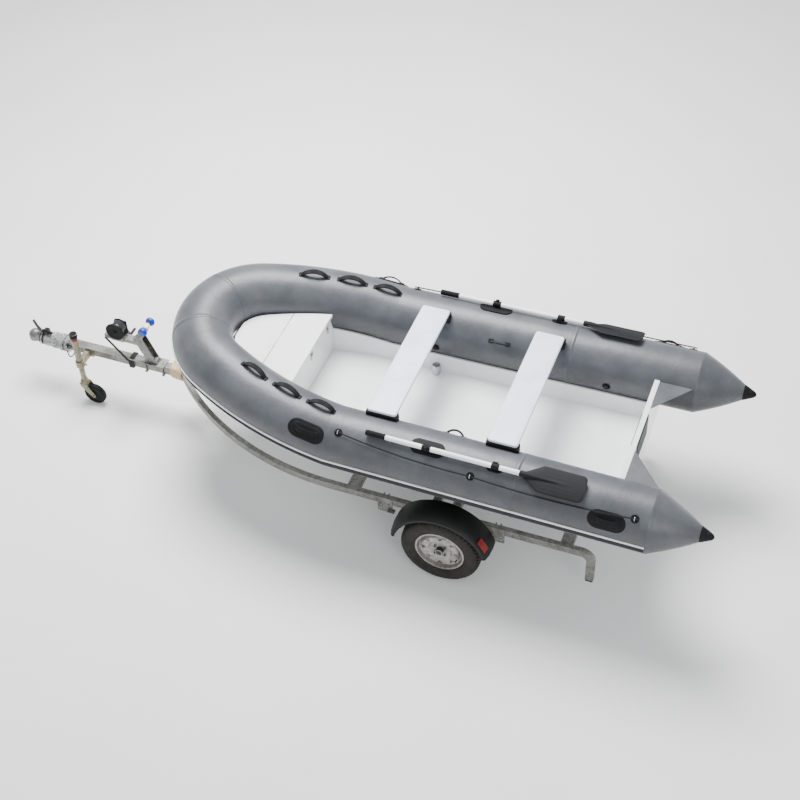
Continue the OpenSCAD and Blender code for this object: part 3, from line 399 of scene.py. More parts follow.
def softened(node, width, material=None, segments=2, angle=32, endX=None):
    # the part's own solid with its arrises rounded; a flat end at endX is filled again as one face from its outline
    source = frame["nodes"][node]
    mesh = source.data.copy()
    mesh.name = node + "Soft"
    built = bmesh.new()
    built.from_mesh(mesh)
    bmesh.ops.remove_doubles(built, verts=built.verts, dist=5e-6)
    if endX is not None:
        flat = [face for face in built.faces if all(abs(vert.co.x - endX) < 1e-5 for vert in face.verts)]
        bmesh.ops.delete(built, geom=flat, context="FACES")
        filled = bmesh.ops.holes_fill(built, edges=[edge for edge in built.edges if edge.is_boundary],
                                      sides=0)["faces"]
        for face in filled:
            face.normal_update()
            if face.normal.x > 0:
                face.normal_flip()
    bmesh.ops.dissolve_limit(built, angle_limit=math.radians(0.6), verts=built.verts, edges=built.edges)
    built.to_mesh(mesh)
    built.free()
    mesh.shade_smooth()
    mesh.set_sharp_from_angle(angle=math.radians(angle))
    mesh.materials.clear()
    mesh.materials.append(material or finish[finishOfSlot[slotOf[node]]])
    piece = bpy.data.objects.new(node + "Soft", mesh)
    bpy.context.scene.collection.objects.link(piece)
    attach(piece, bodyOf(node))
    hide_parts(node)
    edge = piece.modifiers.new("arris", "BEVEL")
    edge.width, edge.segments, edge.limit_method = width, segments, "ANGLE"
    edge.angle_limit = math.radians(angle)
    edge.harden_normals = True
    return piece


def shift(points):
    return np.asarray(points, float) + np.array([transomX, 0, 0])


# tubes
tube = dict(radius=0.216, height=0.887, sternHalf=0.667, foreHalf=0.645, coneBase=-0.28, coneEnd=-0.606,
            coneEndRadius=0.046,
            bowStart=1.94, bowRadius=2.338, bowTurn=math.radians(26), bowLean=math.radians(8))
toe = math.atan((tube["sternHalf"] - tube["foreHalf"]) / (tube["bowStart"] - tube["coneBase"]))
arcX = tube["bowStart"] - tube["bowRadius"] * math.sin(toe)
arcY = tube["foreHalf"] - tube["bowRadius"] * math.cos(toe)
turnX = arcX + tube["bowRadius"] * math.sin(tube["bowTurn"])
noseRadius = (arcY + tube["bowRadius"] * math.cos(tube["bowTurn"])) / math.cos(tube["bowTurn"])
noseX = turnX - noseRadius * math.sin(tube["bowTurn"])


def straightStations(x):
    # plan place and heading of the tube's axis where it runs straight, on the port side
    return np.column_stack([x, tube["foreHalf"] + (tube["bowStart"] - x) * math.tan(toe), np.full(len(x), toe)])


def bowStations(h):
    # the axis follows the long arc, then the nose arc, then the long arc back, by its heading
    port, star = h < tube["bowTurn"], h > math.pi - tube["bowTurn"]
    long = port | star
    x = np.where(long, arcX + tube["bowRadius"] * np.sin(h), noseX + noseRadius * np.sin(h))
    y = np.where(port, arcY + tube["bowRadius"] * np.cos(h), noseRadius * np.cos(h))
    y = np.where(star, -arcY + tube["bowRadius"] * np.cos(h), y)
    return np.column_stack([x, y, h])


def tubeStations(step):
    seam = np.array([-0.017, -0.0155, -0.0145, 0, 0.0145, 0.0155, 0.017])
    x = np.arange(tube["coneBase"], tube["bowStart"] - 0.001, step)
    x = np.unique(np.concatenate([x, [s + d for s in tubeSeams["straight"] for d in seam]]))
    x = x[x <= tube["bowStart"] - 0.001]
    headings = [np.arange(toe, tube["bowTurn"], step / tube["bowRadius"]),
                np.arange(tube["bowTurn"], math.pi / 2, step / noseRadius),
                [math.pi / 2], tubeSeams["nose"] + seam / noseRadius]
    h = np.unique(np.concatenate(headings))
    h = h[h <= math.pi / 2]
    h = np.unique(np.concatenate([h, math.pi - h]))
    port = straightStations(x)
    star = port[::-1] * [1, -1, 1]
    star[:, 2] = math.pi - toe
    return np.concatenate([port, bowStations(h), star])


def carried(stations, psi, radius):
    # each ring lies square to the axis: out by radius at the angle psi from the top; the bow's rings lean up with it
    x, y, h = (stations[:, i][:, None] for i in range(3))
    lean = tube["bowLean"]
    ease = np.clip((x - tube["bowStart"] + 0.04) / 0.08, 0, 1)
    tilt = lean * ease * ease * (3 - 2 * ease)
    fore = np.maximum(0, x - tube["bowStart"])
    axisX = np.minimum(x, tube["bowStart"]) + fore * math.cos(lean)
    axisZ = tube["height"] + fore * math.sin(lean)
    out = radius * np.sin(psi)
    vx, vy, vz = out * np.sin(h), out * np.cos(h), radius * np.cos(psi)
    px = axisX + vx * np.cos(tilt) - vz * np.sin(tilt)
    pz = axisZ + vx * np.sin(tilt) + vz * np.cos(tilt)
    return shift(np.stack(np.broadcast_arrays(px, y + vy, pz), axis=-1))


def axisAt(x):
    x = np.asarray(x, float)
    long = arcY + np.sqrt(np.maximum(0, tube["bowRadius"] ** 2 - (x - arcX) ** 2))
    nose = np.sqrt(np.maximum(0, noseRadius ** 2 - (x - noseX) ** 2))
    y = np.where(x <= tube["bowStart"], tube["foreHalf"] + (tube["bowStart"] - x) * math.tan(toe),
                 np.where(x <= turnX, long, nose))
    h = np.where(x <= turnX, np.arcsin(np.clip((x - arcX) / tube["bowRadius"], -1, 1)),
                 np.arcsin(np.clip((x - noseX) / noseRadius, -1, 1)))
    return y, np.where(x <= tube["bowStart"], toe, h)


def onTube(x0, psi0, along, across, lift, side=1):
    # a point laid on the tube: along it, across it round the girth, and lifted off its skin
    along, across, lift = np.broadcast_arrays(along, across, lift)
    shape = along.shape
    h0 = axisAt(x0)[1]
    x = x0 + along.ravel() * np.cos(h0)
    y, h = axisAt(x)
    psi = math.radians(psi0) + across.ravel() / tube["radius"]
    ring = carried(np.column_stack([x, y, h]), psi[:, None], (tube["radius"] + lift.ravel())[:, None])[:, 0]
    ring[:, 1] *= side
    return ring.reshape(*shape, 3)


tubeSeams = dict(straight=[0.62], nose=math.radians(64), width=0.015, height=0.0014)


def tubeSkin():
    stations = tubeStations(0.02)
    psi = np.linspace(0, math.tau, 112, endpoint=False)[None, :]
    x, h = stations[:, 0][:, None], stations[:, 2][:, None]
    near = np.zeros_like(x)
    for s in tubeSeams["straight"]:
        near = np.maximum(near, np.abs(x - s) < tubeSeams["width"])
    near = np.maximum(near, np.abs(np.minimum(h, math.pi - h) - tubeSeams["nose"]) * noseRadius < tubeSeams["width"])
    # air pressure bulges the fabric a little between the seams
    bulge = 0.0008 * np.sin(x * 9) * np.cos(psi * 2)
    rings = carried(stations, psi, tube["radius"] + near * tubeSeams["height"] + bulge)
    addPiece("tubeSkin", [shellOf(rings)], finish["coatedFabric"], bodyOf("bow_tube"),
             ("bow_tube", "port_tube", "starboard_tube"), 60)


def sternFrame(distance, around, radius, side):
    # a point beside the tube's axis carried on aft of the cones' base
    back = np.array([-math.cos(toe), math.sin(toe), 0])
    out = np.array([math.sin(toe), math.cos(toe), 0])
    base = np.array([tube["coneBase"], tube["sternHalf"], tube["height"]])
    distance, around, radius = np.broadcast_arrays(distance, around, radius)
    p = base + distance[..., None] * back + (radius * np.sin(around))[...,
                                                                      None] * out + (radius * np.cos(around))[...,
                                                                          None] * np.array([0, 0, 1])
    p = shift(p)
    p[..., 1] *= side
    return p


def sternCones():
    length = tube["coneBase"] - tube["coneEnd"]
    around = np.linspace(0, math.tau, 96, endpoint=False)[None, :]
    t = np.linspace(0, 1, 44)[:, None]
    radius = tube["radius"] + (tube["coneEndRadius"] - tube["radius"]) * t + 0.010 * np.sin(math.pi * t) ** 0.8
    band = (t < 0.05) * 0.0014
    cones = [shellOf(sternFrame(t * length, around, radius + band, s)) for s in (1, -1)]
    addPiece("sternConeSkins", cones, finish["coatedFabric"], bodyOf("stern_cones"), ("stern_cones",),
             60)
    profile = np.array([[-0.03, 0.058], [-0.031, 0.061], [-0.004, 0.052], [0.0, 0.050], [0.012, 0.045],
                        [0.03, 0.036], [0.034, 0.037], [0.036, 0.033],
                        [0.052, 0.026], [0.062, 0.020], [0.07, 0.013], [0.074, 0.005], [0.075, 0.0]])
    rings = [shellOf(sternFrame(length + profile[:, :1], around, profile[:, 1:], s)) for s in (1, -1)]
    addPiece("coneCapMouldings", rings, finish["mouldedRubber"], bodyOf("cone_caps"), ("cone_caps",),
             30)


strake = dict(middle=104.6, halfWidth=0.027, thickness=0.0075, ribs=4, stripe=95.6, stripeHalf=0.006,
              stripeThickness=0.0105)


def rubStrake():
    stations = tubeStations(0.03)
    across = np.linspace(-1, 1, 25)
    ridge = strake["thickness"] * (0.72 + 0.28 * np.cos(across * strake["ribs"] * math.pi)) * np.minimum(1,
        (1 - np.abs(across)) * 12 + 0.2)
    psi = np.concatenate([across, across[::-1]]) * strake["halfWidth"] / tube["radius"] + math.radians(strake["middle"])
    radius = tube["radius"] + np.concatenate([ridge, np.full(25, 0.0003)])
    addPiece("rubStrakeBand", [shellOf(carried(stations, psi[None, :], radius[None, :]))], finish["extrudedRubber"],
             bodyOf("rub_strake"),
             ("rub_strake",), 50)
    turn = np.linspace(0, math.pi, 9)
    psi = np.concatenate([np.cos(turn), [-1,
                                         1]]) * strake["stripeHalf"] / tube["radius"] + math.radians(strake["stripe"])
    radius = tube["radius"] + np.concatenate([0.004 + np.sin(turn) * (strake["stripeThickness"] - 0.004),
                                              [0.0003, 0.0003]])
    addPiece("rubStripeBead", [shellOf(carried(stations, psi[None, :], radius[None, :]))], finish["paleVinyl"],
             bodyOf("rub_stripe"),
             ("rub_stripe",), 50)


tubeSkin()
sternCones()
rubStrake()
print("tubes made")


# fittings on the tubes
def patch(x0, psi0, length, width, thickness, side, corner=None):
    # stadium or rounded-corner plate wrapped on the tube, its top falling to its edge
    turn = np.linspace(0, math.tau, 56, endpoint=False)
    corner = width / 2 if corner is None else corner
    edgeA = np.sign(np.cos(turn)) * (length / 2 - corner) + corner * np.cos(turn)
    edgeB = np.sign(np.sin(turn)) * (width / 2 - corner) + corner * np.sin(turn)
    scale = np.array([0.0, 0.5, 0.86, 0.95, 0.985, 1.0, 1.0, 0.5, 0.0])[:, None]
    lift = np.array([1, 1, 1, 0.94, 0.7, 0.35, 0, 0, 0])[:, None] * thickness + 0.0002
    rings = onTube(x0, psi0, scale * edgeA, scale * edgeB, lift + 0 * edgeA, side)
    return rings.reshape(-1, 3), gridFaces(len(scale), len(turn)).tolist()


def archStrap(x0, psi0, foot, chord, rise, width, thickness, side, ribDepth=0.0, ribPitch=0.012):
    # strap on the arc of a circle between its feet; its rounded section swells at each rib
    radius = (chord ** 2 / 4 + rise ** 2) / (2 * rise)
    spanAngle = math.asin(chord / 2 / radius)
    turn = np.linspace(-spanAngle, spanAngle, 85)[:, None]
    section = np.linspace(0, math.tau, 16, endpoint=False)[None, :]
    squash = 0.45
    wide = width / 2 * np.sign(np.cos(section)) * np.abs(np.cos(section)) ** squash
    thick = thickness / 2 * np.sign(np.sin(section)) * np.abs(np.sin(section)) ** squash
    rib = ribDepth * np.cos(turn * radius / ribPitch * math.tau) * (np.abs(turn) < spanAngle * 0.68)
    r = radius - thickness / 2 + thick * (1 + rib / thickness * 2)
    rings = onTube(x0, psi0, r * np.sin(turn), wide * (1 + rib / width * 2), foot + rise - radius + r * np.cos(turn),
                   side)
    return shellOf(rings)


grab = dict(places=[2.060, 2.332, 2.606], psi=-4, chord=0.218, rise=0.058, width=0.034, thickness=0.0115,
            foot=(0.034, 0.040, 0.0055), footReach=0.100)
carry = dict(places=[(2.082, 50), (-0.018, 61)], patchSize=(0.250, 0.132), patchThickness=0.0045,
             raised=(0.206, 0.088),
             raisedThickness=0.0075, chord=0.150, rise=0.034, width=0.030, thickness=0.010,
             foot=(0.034, 0.044, 0.0135), footReach=0.070)
innerStrap = dict(x=1.130, psi=-56, chord=0.130, rise=0.036, width=0.011, thickness=0.015,
                  foot=(0.040, 0.034, 0.0035), footReach=0.062)


def grabHandles():
    shells = []
    for side in (1, -1):
        for x in grab["places"]:
            shells.append(archStrap(x, grab["psi"], -0.006, grab["chord"], grab["rise"], grab["width"],
                                    grab["thickness"], side, 0.0012))
            for end in (-grab["footReach"], grab["footReach"]):
                shells.append(patch(x + end * math.cos(axisAt(x)[1]), grab["psi"], *grab["foot"], side, 0.010))
    addPiece("grabHandleMouldings", shells, finish["mouldedRubber"], bodyOf("grab_handles"),
             ("grab_handles",))


def carryHandles():
    shells = []
    for side in (1, -1):
        for x, psi in carry["places"]:
            shells.append(patch(x, psi, *carry["patchSize"], carry["patchThickness"], side))
            shells.append(patch(x, psi, *carry["raised"], carry["raisedThickness"], side))
            shells.append(archStrap(x, psi, 0.004, carry["chord"], carry["rise"], carry["width"], carry["thickness"],
                                    side, 0.0008, 0.010))
            for end in (-carry["footReach"], carry["footReach"]):
                shells.append(patch(x + end, psi, *carry["foot"], side, 0.010))
    addPiece("carryHandleMouldings", shells, finish["mouldedRubber"], bodyOf("carry_handles"),
             ("carry_handles",))


def innerStraps():
    straps = []
    size = [innerStrap[k] for k in ("chord", "rise", "width", "thickness")]
    for side in (1, -1):
        straps.append(archStrap(innerStrap["x"], innerStrap["psi"], 0.003, *size, side, 0.0003, 0.006))
        for end in (-innerStrap["footReach"], innerStrap["footReach"]):
            straps.append(patch(innerStrap["x"] + end, innerStrap["psi"], *innerStrap["foot"], side, 0.006))
    addPiece("innerWebbingStraps", straps, finish["wovenWebbing"], bodyOf("inner_straps"),
             ("inner_straps",))


def tubeAlong(path, radius, section=14, twist=0.0, strands=0, strandDepth=0.0, closed=False):
    # round section carried square to a path; strands wind round it by the twist in turns per metre
    path = np.asarray(path, float)
    if closed:
        tangent = np.roll(path, -1, 0) - np.roll(path, 1, 0)
    else:
        tangent = np.gradient(path, axis=0)
    tangent /= np.linalg.norm(tangent, axis=1)[:, None]
    aside = np.cross(tangent, np.array([0.13, 0.21, 0.97]))
    aside /= np.linalg.norm(aside, axis=1)[:, None]
    above = np.cross(aside, tangent)
    gone = np.concatenate([[0], np.cumsum(np.linalg.norm(np.diff(path, axis=0), axis=1))])[:, None]
    angle = np.linspace(0, math.tau, section, endpoint=False)[None, :]
    r = radius * (1 + strandDepth * np.cos(strands * (angle - gone * twist * math.tau)))
    rings = path[:, None] + (r * np.cos(angle))[..., None] * aside[:, None] + (r * np.sin(angle))[...,
        None] * above[:, None]
    return shellOf(rings, closeU=closed)


ropeRun = dict(rings=[(1.850, 33), (0.905, 47), (-0.190, 44)], slack=5, lift=0.014, radius=0.005, overrun=0.025,
               lay=34)
ropeEye = dict(base=(0.056, 0.056, 0.004), clip=(0.016, 0.026, 0.0075), ringRadius=0.0105, wireRadius=0.0032)


def ropeRoute(count, side):
    # the rope bows outboard by a parabola between one ring and the next
    x = np.linspace(ropeRun["rings"][0][0] + ropeRun["overrun"], ropeRun["rings"][2][0] - ropeRun["overrun"], count)
    held = np.clip(x, ropeRun["rings"][2][0], ropeRun["rings"][0][0])
    (x0, p0), (x1, p1), (x2, p2) = ropeRun["rings"]
    first = held > x1
    t = np.where(first, (x0 - held) / (x0 - x1), (x1 - held) / (x1 - x2))
    psi = np.where(first, p0 + (p1 - p0) * t, p1 + (p2 - p1) * t) + ropeRun["slack"] * 4 * t * (1 - t)
    y, h = axisAt(x)
    r = np.full(count, tube["radius"] + ropeRun["lift"])
    p = carried(np.column_stack([x, y, h]), np.radians(psi)[:, None], r[:, None])[:, 0]
    p[:, 1] *= side
    return p


def lifelines():
    for side, node in ((1, "port_lifeline"), (-1, "starboard_lifeline")):
        route = ropeRoute(760, side)
        rope = addPiece(node + "Rope", [tubeAlong(route, ropeRun["radius"] * 0.93, 12, ropeRun["lay"], 3, 0.13)],
                        finish["polyesterRope"],
                        bodyOf(node), (node,), 80)
    eyes, rings = [], []
    for side in (1, -1):
        for x, psi in ropeRun["rings"]:
            eyes.append(patch(x, psi, *ropeEye["base"], side))
            turn = np.linspace(0, math.tau, 40, endpoint=False)
            r = ropeEye["ringRadius"]
            ring = onTube(x, psi, 0 * turn, r * np.cos(turn), ropeRun["lift"] + r * np.sin(turn), side)
            rings.append(tubeAlong(ring, ropeEye["wireRadius"], 10, closed=True))
            eyes.append(patch(x, psi, *ropeEye["clip"], side, 0.005))
    addPiece("lifelineEyes", eyes, finish["mouldedRubber"], bodyOf("lifeline_rings"),
             ("lifeline_rings",))
    addPiece("lifelineSteelRings", rings, finish["polishedSteel"], bodyOf("lifeline_rings"))


grabHandles()
carryHandles()
innerStraps()
lifelines()
print("fittings made")


# seats, locker and hull
thwart = dict(edge=0.009, corner=0.022)


def slab(low, high, edge, corner):
    # board with rounded corners in plan and a half-round edge
    turn = np.linspace(0, math.tau, 72, endpoint=False)
    half = (np.asarray(high) - np.asarray(low)) / 2
    mid = (np.asarray(high) + np.asarray(low)) / 2
    ca, sa = np.cos(turn), np.sin(turn)
    fall = np.linspace(0, math.pi, 11)
    inset = np.concatenate([[1.0, 0.5], np.zeros(11), [0.5, 1.0]])
    drop = np.concatenate([[0, 0], edge * (1 - np.sin(fall)), [0, 0]])
    z = np.concatenate([[half[2]] * 2, np.where(fall < math.pi / 2, half[2] - edge + edge * np.cos(fall),
                                                -half[2] + edge + edge * np.cos(fall)), [-half[2]] * 2])
    rings = []
    for shrink, inward, height in zip(inset, drop, z):
        a = (np.sign(ca) * (half[0] - corner) + ca * (corner - inward)) * (1 - shrink)
        b = (np.sign(sa) * (half[1] - corner) + sa * (corner - inward)) * (1 - shrink)
        rings.append(np.column_stack([mid[0] + a, mid[1] + b, np.full(72, mid[2] + height)]))
    rings = np.array(rings)
    return rings.reshape(-1, 3), gridFaces(len(rings), 72).tolist()


for node in ("front_thwart", "rear_thwart"):
    low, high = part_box(node)
    addPiece(node + "Board", [slab(low, high, thwart["edge"], thwart["corner"])], finish["paintedBoard"],
             bodyOf(node), (node,), 60)
rounded = {"transom": 0.006, "locker_front": 0.003, "locker_lid": 0.005, "foredeck": 0.005, "motor_pads": 0.003,
           "transom_gussets": 0.0015,
           "air_valves": 0.003, "oar_pads": 0.0015, "port_rail": 0.005, "starboard_rail": 0.005, "rail_caps": 0.003,
           "drawbar": 0.007, "cross_members": 0.005, "bunks": 0.008, "bunk_posts": 0.003, "axle_beam": 0.005,
           "stub_axles": 0.004,
           "mudguard_brackets": 0.0012, "reflectors": 0.0015, "mudguards": 0.0012, "winch_post": 0.0015,
           "winch_frame": 0.0012,
           "coupler": 0.007, "coupler_lever": 0.003, "jockey_clamp": 0.002, "jockey_mast": 0.002, "jockey_leg": 0.002,
           "jockey_fork": 0.0012, "port_wheel": 0.0008, "starboard_wheel": 0.0008, "winch_strap": 0.0010}
special = {"jockey_clamp": "oliveZinc", "jockey_mast": "oliveZinc", "coupler_lever": "blackEnamel",
           "jockey_leg": "oliveZinc",
           "jockey_fork": "oliveZinc"}
for node, width in rounded.items():
    softened(node, width, finish[special[node]] if node in special else None)
print("boards, deck and frame rounded")


def lathe(profile, centre, axis=1, around=64):
    # profile of radius and distance along the axis, spun about it
    profile = np.asarray(profile, float)
    turn = np.linspace(0, math.tau, around, endpoint=False)[None, :]
    a, b = profile[:, :1] * np.cos(turn), profile[:, :1] * np.sin(turn)
    along = np.broadcast_to(profile[:, 1:], a.shape)
    order = {0: (along, a, b), 1: (a, along, b), 2: (a, b, along)}[axis]
    rings = np.stack(order, axis=-1) + np.asarray(centre, float)
    return rings.reshape(-1, 3), gridFaces(len(profile), around).tolist()


def spun(profile, centre, axis=1, around=96):
    # the same with a profile that closes on itself, for rings and tyres
    verts = lathe(profile, centre, axis, around)[0]
    return verts, gridFaces(len(profile), around, True).tolist()


def thwartSeats():
    shells = []
    for node in ("front_thwart", "rear_thwart"):
        low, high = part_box(node)
        middle = (low.x + high.x) / 2
        for s in (1, -1):
            near, far = 0.500, high.y + 0.008
            y0, y1 = sorted((s * near, s * far))
            shells.append(slab((middle - 0.112, y0, 1.052), (middle + 0.112, y1, low.z + 0.003), 0.004, 0.010))
    addPiece("thwartSeatings", shells, finish["mouldedRubber"], bodyOf("thwart_brackets"),
             ("thwart_brackets",))


oar = dict(pinX=1.232, psi=22, lift=0.032, shaftRadius=0.0175, gripEnd=0.430, gripLength=0.140, shaftEnd=-0.686,
           blade=0.410)


def oarFrame(a, b, c, side):
    # a point in the oar's own frame: along it towards its grip, across its blade, and off the tube
    psi = math.radians(oar["psi"])
    ex = np.array([math.cos(toe), -math.sin(toe), 0])
    ey = np.array([math.cos(psi) * math.sin(toe), math.cos(psi) * math.cos(toe), -math.sin(psi)])
    ez = np.array([math.sin(psi) * math.sin(toe), math.sin(psi) * math.cos(toe), math.cos(psi)])
    origin = np.array([oar["pinX"], float(axisAt(oar["pinX"])[0]), tube["height"]]) + (tube["radius"]
        + oar["lift"]) * ez
    a, b, c = np.broadcast_arrays(a, b, c)
    p = shift(origin + a[..., None] * ex + b[..., None] * ey + c[..., None] * ez)
    p[..., 1] *= side
    return p


def oarRound(profile, side, around=40):
    # profile of place along the oar and radius
    profile = np.asarray(profile, float)
    turn = np.linspace(0, math.tau, around, endpoint=False)[None, :]
    rings = oarFrame(profile[:, :1], profile[:, 1:] * np.cos(turn), profile[:, 1:] * np.sin(turn), side)
    return rings.reshape(-1, 3), gridFaces(len(profile), around).tolist()


def oarBlade(side):
    # half-width grows over the throat, holds, then rounds off at the tip; the face thins to its edge and carries ribs
    t = np.linspace(0, 1, 66)
    length = oar["blade"]
    a = t * length
    half = np.interp(a, [0, 0.03, 0.11, 0.12, length], [0.019, 0.036, 0.089, 0.093, 0.093])
    tip = np.clip((a - (length - 0.038)) / 0.038, 0, 1)
    half = half - 0.034 * (1 - np.sqrt(np.maximum(0, 1 - tip ** 2.2)))
    v = np.linspace(-1, 1, 61)
    y = half[:, None] * v[None, :]
    spine = 0.0065 * np.exp(-(y / 0.0085) ** 2) * np.clip(1 - a / (length * 0.78), 0, 1)[:, None]
    ribs = 0.0003 * (np.abs(np.abs(y) - 0.032) < 0.0022) + 0.0004 * (np.abs(np.abs(y) - 0.058) < 0.0022)
    ribs = ribs * np.clip((a - 0.13) / 0.02, 0, 1)[:, None] * np.clip((length - 0.04 - a) / 0.02, 0, 1)[:, None]
    edge = np.clip((1 - np.abs(v)) * 12, 0, 1)[None, :] ** 0.5
    thick = 0.0024 * edge + 0.0002
    dish = -0.006 * v[None, :] ** 2
    top = dish + thick + (spine + ribs) * edge
    bottom = dish - thick - spine * edge * 0.6
    place = (oar["shaftEnd"] + 0.02 - a)[:, None] + 0 * y
    upper = oarFrame(place, y, top, side)
    lower = oarFrame(place, y, bottom, side)[:, ::-1]
    return shellOf(np.concatenate([upper, lower], axis=1))


def oars():
    r = oar["shaftRadius"]
    start = oar["gripEnd"] - oar["gripLength"]
    ridgePlace = np.linspace(start, oar["gripEnd"] - 0.012, 70)
    ridge = 0.0196 + 0.0011 * np.cos((ridgePlace - start) / 0.010 * math.tau)
    grip = [[start - 0.001, r], [start, 0.019]] + np.column_stack([ridgePlace, ridge]).tolist()
    grip += [[oar["gripEnd"] - 0.008, 0.0195], [oar["gripEnd"] - 0.002, 0.0165], [oar["gripEnd"], 0.010],
             [oar["gripEnd"], 0.0]]
    for side, node in ((1, "port_oar"), (-1, "starboard_oar")):
        shaft = [oarRound([[oar["shaftEnd"], 0], [oar["shaftEnd"], r], [start - 0.003, r], [start - 0.003, 0]], side)]
        addPiece(node + "Shaft", shaft, finish["powderCoat"], bodyOf(node), (node,))
        dark = [oarRound([[start - 0.001, 0]] + grip, side)]
        dark.append(oarRound([[-0.030, r], [-0.028, 0.0215], [-0.010, 0.0228], [0.010, 0.0228], [0.028, 0.0215],
                              [0.030, r]], side))
        dark.append(oarRound([[-0.505, r], [-0.503, 0.0205], [-0.452, 0.0205], [-0.450, r]], side))
        addPiece(node + "Grip", dark, finish["mouldedRubber"], bodyOf(node))
        socket = oarRound([[-0.640, r], [-0.642, 0.0200], [-0.700, 0.0205], [-0.760, 0.0150], [-0.900, 0.0060],
                           [-0.905, 0.0]], side)
        addPiece(node + "Blade", [oarBlade(side), socket], finish["filledNylon"], bodyOf(node))


tyre = dict(radius=0.2885, blocks=52, grooveDepth=0.0065)
tyreProfile = [[.1715, .048], [.1795, .0505], [.1795, .060], [.185, .0655], [.192, .070], [.200, .0732],
               [.208, .0755], [.216, .0768], [.225, .0775],
               [.235, .0771], [.245, .076], [.255, .0733], [.264, .069], [.272, .0640], [.279, .058]]


def tyreShell(centre):
    # the road profile spun about the axle; the tread is cut by three ring grooves and by slanting cross grooves
    side = np.array(tyreProfile)
    across = np.linspace(0.055, -0.055, 56)
    crown = np.column_stack([tyre["radius"] - 0.0095 * (np.abs(across) / 0.058) ** 2.6, across])
    profile = np.concatenate([side, crown, side[::-1] * [1, -1]])
    around = 416
    turn = np.linspace(0, math.tau, around, endpoint=False)[None, :]
    r, w = profile[:, :1], profile[:, 1:]
    tread = np.clip((r - 0.2775) / 0.001, 0, 1)
    rings = (np.abs(w) < 0.0022) | (np.abs(np.abs(w) - 0.024) < 0.0026)
    slant = (turn * tyre["blocks"] / math.tau + np.sign(w) * w / 0.030 + 0.5 * (np.abs(w) < 0.024)) % 1
    cross = (slant < 0.22) & (np.abs(w) > 0.0022)
    shoulder = (np.abs(w) > 0.050) & (np.abs(w) < 0.066) & ((turn * tyre["blocks"] / math.tau) % 1 < 0.3)
    cut = np.where(rings | cross, tyre["grooveDepth"], 0) * tread + np.where(shoulder, 0.003, 0)
    radius = r - cut * (r > 0.268)
    ring = np.stack([radius * np.cos(turn), np.broadcast_to(w, radius.shape), radius * np.sin(turn)],
                    axis=-1) + centre
    return ring.reshape(-1, 3), gridFaces(len(profile), around, True).tolist()


def tyres():
    for name in ("port", "starboard"):
        low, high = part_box(name + "_tyre")
        centre = np.array((low + high) / 2)
        addPiece(name + "TyreTread", [tyreShell(centre)], finish["treadRubber"], bodyOf(name + "_tyre"),
                 (name + "_tyre",), 30)
        out = 1 if name == "port" else -1
        cap = [[0, 0.0685], [0.020, 0.0685], [0.0262, 0.066], [0.0276, 0.060], [0.0276, 0.036], [0.030, 0.0355],
               [0.030, 0.0352], [0, 0.0352]]
        shells = [lathe([[p, out * q] for p, q in cap], centre, 1, 48)]
        for k in range(4):
            spot = centre + np.array([math.cos(k * math.pi / 2 + math.pi / 4), 0,
                                      math.sin(k * math.pi / 2 + math.pi / 4)]) * 0.050
            nut = [[0, 0.0515], [0.0075, 0.0515], [0.0098, 0.0485], [0.0098, 0.0352], [0, 0.0352]]
            shells.append(lathe([[p, out * q] for p, q in nut], spot, 1, 6))
        angle = math.radians(200)
        stem = centre + np.array([math.cos(angle) * 0.134, out * 0.050, math.sin(angle) * 0.134])
        tip = stem + np.array([math.cos(angle) * -0.006, out * 0.024, math.sin(angle) * -0.006])
        path = stem[None, :] + np.linspace(0, 1, 8)[:, None] * (tip - stem)[None, :]
        shells.append(tubeAlong(path, 0.0045, 14))
        addPiece(name + "HubCap", shells, finish["blackEnamel"], bodyOf(name + "_wheel"))


